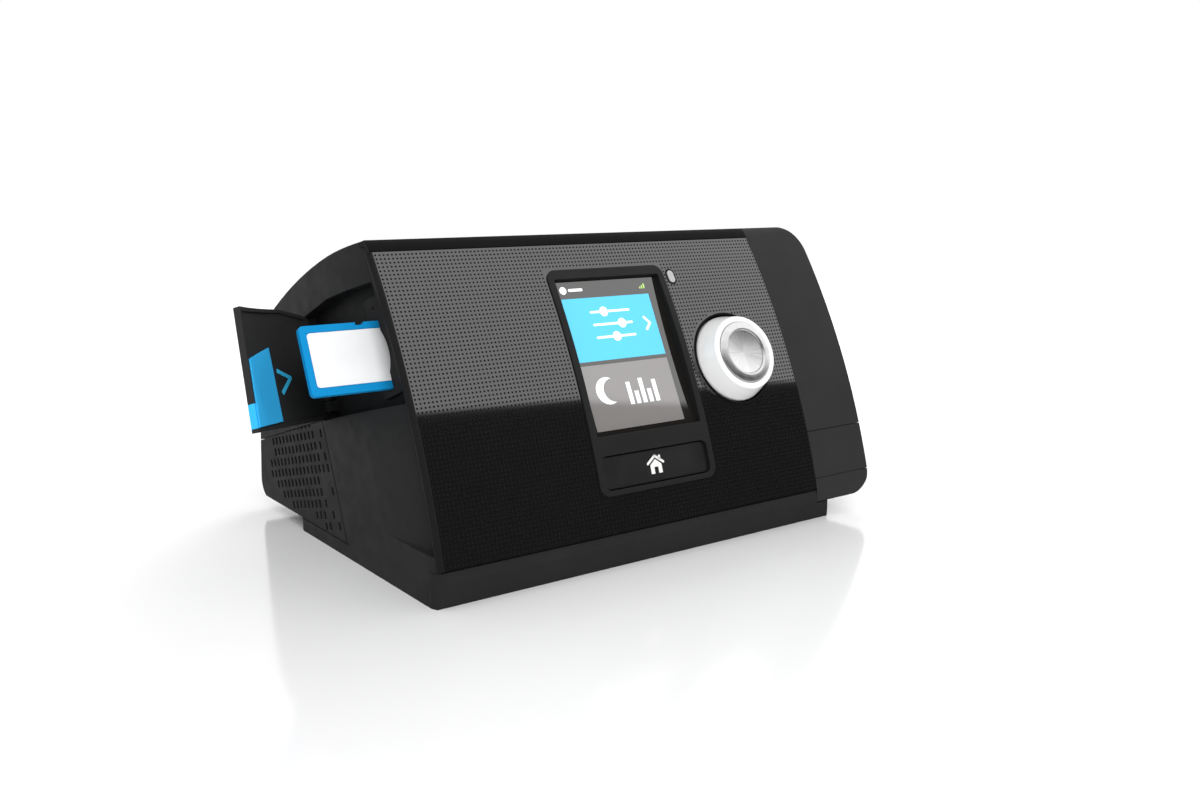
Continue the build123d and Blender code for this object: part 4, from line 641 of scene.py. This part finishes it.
# ---- pieces -----------------------------------------------------------------------------------------
class CPAP_OT_case(bpy.types.Operator):
    """The base, shell, roof strip and covers, with softened edges"""

    bl_idname = "cpap.case"
    bl_label = "Case"

    def execute(self, context):
        s = context.scene.cpap_case
        case = moulded("case_plastic", s.case_color, 0.5, s.edge, s.grain, s.grain_depth)
        finish_nodes(case, "base_tray", "housing_shell", "filter_cover", "sd_bay")
        roof = moulded("roof_plastic", s.roof_color, 0.45, s.edge, s.grain, s.grain_depth, level=0.02)
        finish_nodes(roof, "top_trim")
        return {"FINISHED"}


class CPAP_OT_panel(bpy.types.Operator):
    """The glossy front panel with its dots and edge bead, and the light sensor with its rim"""

    bl_idname = "cpap.panel"
    bl_label = "Front panel"

    def execute(self, context):
        s = context.scene.cpap_panel
        finish_nodes(panel_finish("panel_gloss", s.panel_color), "front_fascia")
        dot = Finish("panel_dot", s.dot_color, 0.7, Specular_IOR_Level=0.1).mottle(s.dot_color, 0.1, 0.01)
        left, right = PANEL_X0 + DOTS_LEFT, BODY_W - DOTS_RIGHT
        long = PANEL_Q1 - PANEL_Q0 - 2 * DOTS_END
        mid_x, mid_q = (left + right) / 2, (PANEL_Q1 + PANEL_Q0) / 2
        mesh = dots_tree(dot.material).make({
            "Width": right - left, "Length": long, "Pitch": s.dot_pitch / MM, "Dot Size": s.dot_size / MM,
            "Dot Height": s.dot_height / MM, "Panel Radius": ARC_R, "Bulge": PANEL_BULGE,
            "Middle": CHORD_LEN / 2 - mid_q + long / 2,
            "Screen X": BEZEL_MID - mid_x, "Screen Width": BEZEL[1] - BEZEL[0] + 2 * DOTS_ROUND_SCREEN,
            "Screen Y": (BEZEL[2] + BEZEL[3]) / 2 - mid_q,
            "Screen Length": BEZEL[3] - BEZEL[2] + 2 * DOTS_ROUND_SCREEN,
            "Dial X": DIAL_X - mid_x, "Dial Y": DIAL_Q - mid_q, "Dial Radius": WELL_R + DOTS_ROUND_DIAL})
        mesh.transform(TO_ROW @ FRONT @ shift(mid_x, mid_q))
        publish_mesh("panel_dots", mesh, "machine", dot.material, "panel_grey")
        rim = moulded("rim_plastic", (0.012, 0.012, 0.012), 0.4, edge=0.0002)
        strip = bmesh.new()
        bead(strip, PANEL_X0, BEAD_R, BEAD_DEPTH)
        publish("panel_bead", strip, "machine", rim, "case_charcoal")
        oval = bmesh.new()
        inner, outer = (slot_outline(SENSOR_W / 2 + past, (SENSOR_L - SENSOR_W) / 2)
                        for past in (SENSOR_GAP, SENSOR_RIM_W))
        band(oval, inner, outer, *SENSOR_RIM_Z)
        publish("sensor_rim", placed(oval, on_panel(SENSOR_X, SENSOR_Q)), "machine", rim, "bezel_black")
        finish_nodes(gloss("lens_clear", (0.42, 0.42, 0.42), 0.15), "light_sensor_lens")
        return {"FINISHED"}


def sliders(icons):
    """Three bars, each with a knob on it."""
    for y, knob in SLIDERS:
        stroke(icons, (SLIDER_X[0], y), (SLIDER_X[1], y), SLIDER_W, *ICON_Z)
        disc(icons, knob, y, SLIDER_KNOB_R, *ICON_Z)


def arrow(icons):
    """An arrow head that points to the right."""
    top, tip, foot = ARROW
    stroke(icons, top, tip, ARROW_W, *ICON_Z)
    stroke(icons, foot, tip, ARROW_W, *ICON_Z)


def moon(icons):
    """A crescent."""
    outline = arc(MOON_X, MOON_Y, MOON_R, range(60, 301, 12))
    plate(icons, outline + arc(MOON_BITE_X, MOON_Y, MOON_BITE_R, range(272, 87, -12)), *ICON_Z)


def status_line(icons):
    """A dot and a bar over the tiles."""
    disc(icons, STATUS_DOT_X, STATUS_Y, STATUS_DOT_R, *ICON_Z)
    stroke(icons, (STATUS_BAR_X[0], STATUS_Y), (STATUS_BAR_X[1], STATUS_Y), STATUS_BAR_W, *ICON_Z)


class CPAP_OT_screen(bpy.types.Operator):
    """The screen's frame, its glossy face, and the tiles and icons that show on it"""

    bl_idname = "cpap.screen"
    bl_label = "Screen"

    def execute(self, context):
        s = context.scene.cpap_screen
        bezel = moulded("bezel_plastic", (0.016, 0.016, 0.016), 0.42, edge=0.0006, depth=0.1, level=0.07)
        finish_nodes(bezel, "display_bezel")
        finish_nodes(screen_finish("lcd_edge", s.backdrop_color), "lcd_module")
        face = bmesh.new()
        box_plate(face, -GLASS_W / 2, GLASS_W / 2, -GLASS_L / 2, GLASS_L / 2, -GLASS_T, 0, GLASS_CORNER_R)
        backdrop = screen_finish("screen_gloss", s.backdrop_color)
        publish("screen_face", placed(face, GLASS), "machine", backdrop, "screen_glass", ["display_glass"])
        for name, color, across, glow in (("tile_upper", s.tile_color, UPPER_TILE_Y, s.glow),
                                          ("tile_lower", s.lower_color, LOWER_TILE_Y, s.lower_glow)):
            tile = bmesh.new()
            box_plate(tile, *TILE_X, *across, *TILE_Z)
            light = screen_finish(name + "_light", color, glow)
            publish(name, placed(tile, GLASS), "machine", light, "screen_panel")
        white = screen_finish("icon_light", s.icon_color, s.glow)
        icons = bmesh.new()
        for draw in (sliders, arrow, moon, status_line):
            draw(icons)
        publish("screen_icons", placed(icons, GLASS), "machine", white, "screen_panel")
        bars = row_tree("chart_bars", white).make({"Count": 5, "Pitch": 3.0, "Width": 1.8, "Length": 4.0,
                                                   "Thickness": 0.03, "Unevenness": 6.5, "Seed": 4})
        bars.transform(TO_ROW @ GLASS @ shift(*CHART_AT, ICON_Z[1]))
        publish_mesh("chart_bars", bars, "machine", white, "screen_panel")
        green = screen_finish("signal_light", (0.35, 0.55, 0.10), 0.5)
        signal = row_tree("signal_bars", green).make({"Count": 3, "Pitch": 1.0, "Width": 0.6, "Length": 0.8,
                                                      "Thickness": 0.03, "Growth": 0.6})
        signal.transform(TO_ROW @ GLASS @ shift(*SIGNAL_AT, ICON_Z[1]))
        publish_mesh("signal_bars", signal, "machine", green, "screen_panel")
        return {"FINISHED"}


def house():
    """A house with a doorway, a roof that overhangs and a chimney."""
    mark = bmesh.new()
    wall, jamb, eave = HOUSE_W / 2, DOORWAY_W / 2, ROOF_W / 2
    plate(mark, [(-wall, HOUSE_FOOT), (-jamb, HOUSE_FOOT), (-jamb, DOORWAY_TOP), (jamb, DOORWAY_TOP),
                 (jamb, HOUSE_FOOT), (wall, HOUSE_FOOT), (wall, HOUSE_EAVES), (0.0, HOUSE_TOP),
                 (-wall, HOUSE_EAVES)], *MARK_Z)
    for x in (-eave, eave):
        stroke(mark, (x, ROOF_EAVES), (0.0, ROOF_TOP), ROOF_LINE, *MARK_Z)
    box_plate(mark, *CHIMNEY, *MARK_Z)
    return mark


class CPAP_OT_keys(bpy.types.Operator):
    """The home key with its house mark, and the start key on the roof"""

    bl_idname = "cpap.keys"
    bl_label = "Keys"

    def execute(self, context):
        home = moulded("key_plastic", (0.010, 0.010, 0.010), 0.38, edge=0.0005, depth=0.08, level=0.3)
        finish_nodes(home, "home_button")
        start = moulded("start_plastic", (0.013, 0.013, 0.013), 0.35, edge=0.0006, depth=0.05, level=0.07)
        finish_nodes(start, "start_button")
        printed = moulded("mark_print", (0.78, 0.78, 0.77), edge=0.0001, grain=0.0004, depth=0.05)
        publish("home_mark", placed(house(), HOME), "home_key", printed, "label_white")
        return {"FINISHED"}


def knob_outline():
    """The hollow knob: a hub, a conical wall with a skirt, and a recess in its top for the ring."""
    hub, roof = SHAFT_R + HUB_WALL, KNOB_H - KNOB_WALL - KNOB_ROOF_DROP
    outline = [(hub, -HUB_DROP), (hub, roof), (KNOB_TOP_R - KNOB_WALL, roof), (KNOB_R - KNOB_WALL, 0.0),
               (KNOB_R - KNOB_WALL, -KNOB_SKIRT), (KNOB_R - SKIRT_EDGE, -KNOB_SKIRT),
               (KNOB_R, -KNOB_SKIRT + SKIRT_EDGE)]
    outline += [(KNOB_R - inset, z) for inset, z in SHOULDER]
    outline += edge_arc(KNOB_TOP_R, KNOB_H, KNOB_EDGE_R, range(15, 91, 7))
    outline += [(RING_R + reach, KNOB_H + z) for reach, z in RECESS]
    return outline + [(RING_R + RING_GAP, SEAT_Z), (SHAFT_R, SEAT_Z), (SHAFT_R, -HUB_DROP)]


def ring_outline():
    """The ring: an upright side, a rounded top edge and a lip that falls to the disc."""
    outline = [(RING_IN_R, SEAT_Z), (RING_R, SEAT_Z), (RING_R, SEAT_Z + RING_SIDE)]
    outline += edge_arc(RING_R, SEAT_Z + RING_SIDE + RING_EDGE_R, RING_EDGE_R, range(15, 76, 15))
    return outline + [(RING_IN_R + reach, SEAT_Z + z) for reach, z in RING_LIP]


def disc_outline():
    """The disc: flat below and dished above."""
    shares = [k / CAP_STEPS for k in range(CAP_STEPS, -1, -1)]
    dish = [(CAP_R * share, SEAT_Z + CAP_RIM - CAP_DISH * (1 - share ** 2)) for share in shares]
    return [(0, SEAT_Z), (CAP_R, SEAT_Z), *dish]


class CPAP_OT_dial(bpy.types.Operator):
    """The dial: white knob, chrome ring, brushed disc and dark well"""

    bl_idname = "cpap.dial"
    bl_label = "Dial"

    def execute(self, context):
        s = context.scene.cpap_dial
        finish_nodes(moulded("well_plastic", (0.008, 0.008, 0.008), edge=0.0003), "dial_well")
        white = gloss("knob_gloss", s.knob_color, 0.12, edge=0.0002)
        chrome = metal("ring_chrome", s.chrome_color, 0.34)
        silver = brushed_disc("disc_brushed", s.disc_color, DIAL)
        for name, outline, material, slot, node, sharp in (
                ("knob", knob_outline(), white, "knob_white", "dial_knob", 50.0),
                ("ring", ring_outline(), chrome, "chrome", "dial_ring", 60.0),
                ("disc", disc_outline(), silver, "spun_silver", "dial_cap", 50.0)):
            turned = bmesh.new()
            lathe(turned, outline, s.steps)
            publish(name, placed(turned, DIAL), "dial_head", material, slot, [node], sharp)
        return {"FINISHED"}


class CPAP_OT_card(bpy.types.Operator):
    """The card door, its latch and mark, the memory card and its label"""

    bl_idname = "cpap.card"
    bl_label = "Card door and card"

    def execute(self, context):
        s, case = context.scene.cpap_card, context.scene.cpap_case
        # painted light: the door plastic is lighter than the case plastic, to brighten its shaded inner face
        door = moulded("door_plastic_painted_light", s.door_painted_light_color, 0.5, case.edge, case.grain, case.grain_depth)
        finish_nodes(door, "sd_door")
        finish_nodes(moulded("latch_plastic", s.latch_color, 0.42, edge=0.0003), "sd_door_latch")
        pale = [min(1.0, c * 1.2) for c in s.latch_color]
        finish_nodes(moulded("arrow_plastic", pale, 0.42, edge=0.0001), "sd_door_arrow")
        finish_nodes(moulded("card_plastic", s.card_color, 0.35, edge=0.0003), "sd_card")
        paper = moulded("label_paper", s.label_color, 0.55, edge=0.0001, grain=0.0005, depth=0.04)
        finish_nodes(paper, "sd_card_label")
        gold = metal("contact_gold", (0.85, 0.62, 0.25), 0.25)
        pads = row_tree("card_contacts", gold).make({"Count": PADS, "Pitch": PAD_PITCH, "Width": PAD_W,
                                                     "Length": PAD_L, "Thickness": PAD_T})
        first = shift(CARD_L / 2 - PAD_INSET, -PAD_PITCH * (PADS - 1) / 2, -CARD_T / 2)
        pads.transform(TO_ROW @ CARD @ first @ Matrix.Rotation(pi / 2, 4, "Z"))
        publish_mesh("card_contacts", pads, "memory_card", gold, "copper")
        return {"FINISHED"}


class CPAP_OT_tub(bpy.types.Operator):
    """The water tub, its plate, hinge pin and gasket"""

    bl_idname = "cpap.tub"
    bl_label = "Water tub"

    def execute(self, context):
        s = context.scene.cpap_case
        # painted light: the tub plastic is lighter than the case plastic, to brighten its lit faces
        tub = moulded("tub_plastic_painted_light", s.tub_painted_light_color, 0.45, s.edge, s.grain, s.grain_depth)
        finish_nodes(tub, "tub_lid", "tub_base")
        finish_nodes(metal("plate_steel", (0.55, 0.55, 0.56)), "tub_plate", "tub_hinge_pin")
        finish_nodes(rubber("gasket_silicone", (0.3, 0.32, 0.33)), "tub_seal")
        return {"FINISHED"}


class CPAP_OT_inside(bpy.types.Operator):
    """Finishes for everything inside and at the back"""

    bl_idname = "cpap.inside"
    bl_label = "Inner parts"

    def execute(self, context):
        s = context.scene.cpap_case
        inner = moulded("inner_plastic", s.inside_color, 0.55)
        finish_nodes(inner, "key_switches", "sd_socket", "filter_holder", "impeller", "flow_sensor",
                     "tub_bay", "power_inlet")
        grey = moulded("grey_plastic", (0.16, 0.165, 0.17))
        finish_nodes(grey, "chassis_frame", "ribbon_cable", "blower_case_lower", "blower_case_upper",
                     "blower_duct", "heater_tray", "outlet_elbow", "outlet_connector")
        steel = metal("steel", (0.56, 0.56, 0.58), 0.32)
        finish_nodes(steel, "base_screws", "board_screws", "dial_encoder", "dial_shaft", "sd_hinge_pin",
                     "modem_module", "motor_rotor", "motor_bearings", "heater_springs", "power_pins")
        heater = metal("heater_aluminium", (0.62, 0.62, 0.63), 0.35, brush=(1.0, 12.0, 1.0))
        finish_nodes(heater, "heater_plate")
        finish_nodes(circuit_board("board_mask", (0.02, 0.12, 0.05)), "main_board")
        finish_nodes(windings("stator_copper", (0.6, 0.3, 0.15)), "motor_stator")
        finish_nodes(rubber("foot_rubber", (0.02, 0.02, 0.02)), "rubber_feet", "blower_mounts")
        finish_nodes(rubber("seal_silicone", (0.35, 0.37, 0.38)), "outlet_seals")
        finish_nodes(foam("muffler_cells", (0.09, 0.09, 0.095)), "muffler_foam")
        finish_nodes(foam("filter_fleece", (0.72, 0.73, 0.73)), "air_filter")
        return {"FINISHED"}


# ---- stage ------------------------------------------------------------------------------------------
CAMERA_AT = (-0.25417, -0.36876, 0.13361)
CAMERA_YAW, CAMERA_PITCH, CAMERA_ROLL = 36.257, -10.582, 0.13
FILM_W, NEAREST, FARTHEST = 36.0, 0.01, 20.0
CEILING_EDGE = (0.168, 0.792, 1.0)               # normal of the plane that bounds the ceiling light
CEILING_BLUR, DIM_SHEEN = 0.004, 0.03
FLOOR_R, FADE_FROM, FADE_TO = 6.0, 0.45, 1.8
LAMP_SIZE, KEY_AT, REAR_AT, LAMP_AIM = 0.5, (-0.3, -1.0, 0.6), (0.7, 0.6, 0.8), (0.0, 0.0, 0.05)


def sky(s):
    """A room lit by a wide ceiling light that ends along a straight edge in front of the machine."""
    world = bpy.data.worlds.new("studio")
    bpy.context.scene.world = world
    world.use_nodes = True
    tree = world.node_tree
    back = tree.nodes["Background"]
    back.inputs["Color"].default_value = (1.0, 1.0, 1.0, 1.0)

    def add(kind, values=(), **settings):
        """A node of the world's tree."""
        return add_node(tree, "ShaderNode" + kind, values, **settings)

    way = add("TexCoord").outputs["Generated"]
    side = add("VectorMath", {0: way, 1: CEILING_EDGE}, operation="DOT_PRODUCT").outputs["Value"]
    lit = add("MapRange", {"Value": side, "From Min": -CEILING_BLUR, "From Max": CEILING_BLUR}).outputs[0]
    ray = add("LightPath").outputs
    plain = add("MapRange", {"Value": lit, "To Min": s.fill, "To Max": s.sky}).outputs[0]
    shine = add("MapRange", {"Value": lit, "To Min": DIM_SHEEN, "To Max": s.sheen}).outputs[0]
    shown = add("Mix", {0: ray["Is Glossy Ray"], 2: plain, 3: shine}).outputs[0]
    total = add("Mix", {0: ray["Is Camera Ray"], 2: shown, 3: 1.0}).outputs[0]
    tree.links.new(total, back.inputs["Strength"])


def floor(s):
    """A wide pale floor that fades to white far from the machine."""
    bm = bmesh.new()
    bmesh.ops.create_circle(bm, cap_ends=True, segments=96, radius=FLOOR_R)
    mesh = bpy.data.meshes.new("floor")
    bm.to_mesh(mesh)
    bm.free()
    stage_floor = bpy.data.objects.new("floor", mesh)
    bpy.context.scene.collection.objects.link(stage_floor)
    finish = Finish("floor_white", s.floor_color, 0.12, Specular_IOR_Level=0.2)
    far = finish.add("VectorMath", {0: finish.coordinates()}, operation="LENGTH").outputs["Value"]
    fade = finish.add("MapRange", {"Value": far, "From Min": FADE_FROM, "From Max": FADE_TO}).outputs[0]
    camera_ray = finish.add("LightPath").outputs["Is Camera Ray"]
    seen = finish.add("Math", {0: fade, 1: camera_ray}, operation="MULTIPLY").outputs[0]
    white = finish.add("Emission", {"Color": (1.0, 1.0, 1.0, 1.0), "Strength": 1.0})
    mix = finish.add("MixShader", {0: seen, 1: finish.shader.outputs[0], 2: white.outputs[0]})
    finish.link(mix.outputs[0], finish.nodes["Material Output"].inputs["Surface"])
    mesh.materials.append(finish.material)


def soft_lamp(name, power, place):
    """A soft square lamp that points at the machine and doesn't show in reflections."""
    data = bpy.data.lights.new(name, "AREA")
    data.energy, data.size = power, LAMP_SIZE
    lamp = bpy.data.objects.new(name, data)
    bpy.context.scene.collection.objects.link(lamp)
    lamp.visible_glossy = False
    lamp.location = place
    lamp.rotation_euler = (Vector(LAMP_AIM) - lamp.location).to_track_quat("-Z", "Y").to_euler()


def camera(s):
    """The camera, in front of the machine's left corner."""
    data = bpy.data.cameras.new("camera")
    data.lens, data.sensor_width = s.lens, FILM_W
    data.clip_start, data.clip_end = NEAREST, FARTHEST
    view = bpy.data.objects.new("camera", data)
    bpy.context.scene.collection.objects.link(view)
    yaw = Matrix.Rotation(-radians(CAMERA_YAW), 4, "Z")
    pitch = Matrix.Rotation(radians(90 + CAMERA_PITCH), 4, "X")
    roll = Matrix.Rotation(-radians(CAMERA_ROLL), 4, "Z")
    view.matrix_world = Matrix.Translation(CAMERA_AT) @ yaw @ pitch @ roll
    bpy.context.scene.camera = view


class CPAP_OT_stage(bpy.types.Operator):
    """The floor, the light and the camera"""

    bl_idname = "cpap.stage"
    bl_label = "Stage"

    def execute(self, context):
        s = context.scene.cpap_stage
        sky(s)
        floor(s)
        soft_lamp("key_lamp", s.key, KEY_AT)
        soft_lamp("rear_lamp", s.rear, REAR_AT)
        camera(s)
        context.scene.view_settings.view_transform = "Standard"
        return {"FINISHED"}


OPERATORS = [CPAP_OT_stage, CPAP_OT_case, CPAP_OT_panel, CPAP_OT_screen, CPAP_OT_keys, CPAP_OT_dial,
             CPAP_OT_card, CPAP_OT_tub, CPAP_OT_inside]
SETTINGS = {"cpap_case": CaseSettings, "cpap_panel": PanelSettings, "cpap_screen": ScreenSettings,
            "cpap_dial": DialSettings, "cpap_card": CardSettings, "cpap_stage": StageSettings}


class CPAP_PT_machine(bpy.types.Panel):
    """Lists the machine's pieces and settings"""

    bl_idname = "CPAP_PT_machine"
    bl_label = "CPAP machine"
    bl_space_type = "VIEW_3D"
    bl_region_type = "UI"
    bl_category = "Machine"

    def draw(self, context):
        for name, kind in SETTINGS.items():
            column = self.layout.column(align=True)
            for key in kind.__annotations__:
                column.prop(getattr(context.scene, name), key)
        for operator in OPERATORS:
            self.layout.operator(operator.bl_idname)


def register():
    """Makes the settings, the operators and the sidebar panel known."""
    for kind in [*SETTINGS.values(), *OPERATORS, CPAP_PT_machine]:
        bpy.utils.register_class(kind)
    for name, kind in SETTINGS.items():
        setattr(bpy.types.Scene, name, PointerProperty(type=kind))


def unregister():
    """Takes them away again."""
    for name in SETTINGS:
        delattr(bpy.types.Scene, name)
    for kind in reversed([*SETTINGS.values(), *OPERATORS, CPAP_PT_machine]):
        bpy.utils.unregister_class(kind)


def main():
    register()
    for operator in OPERATORS:
        group, name = operator.bl_idname.split(".")
        getattr(getattr(bpy.ops, group), name)()


if __name__ == "__main__":
    main()
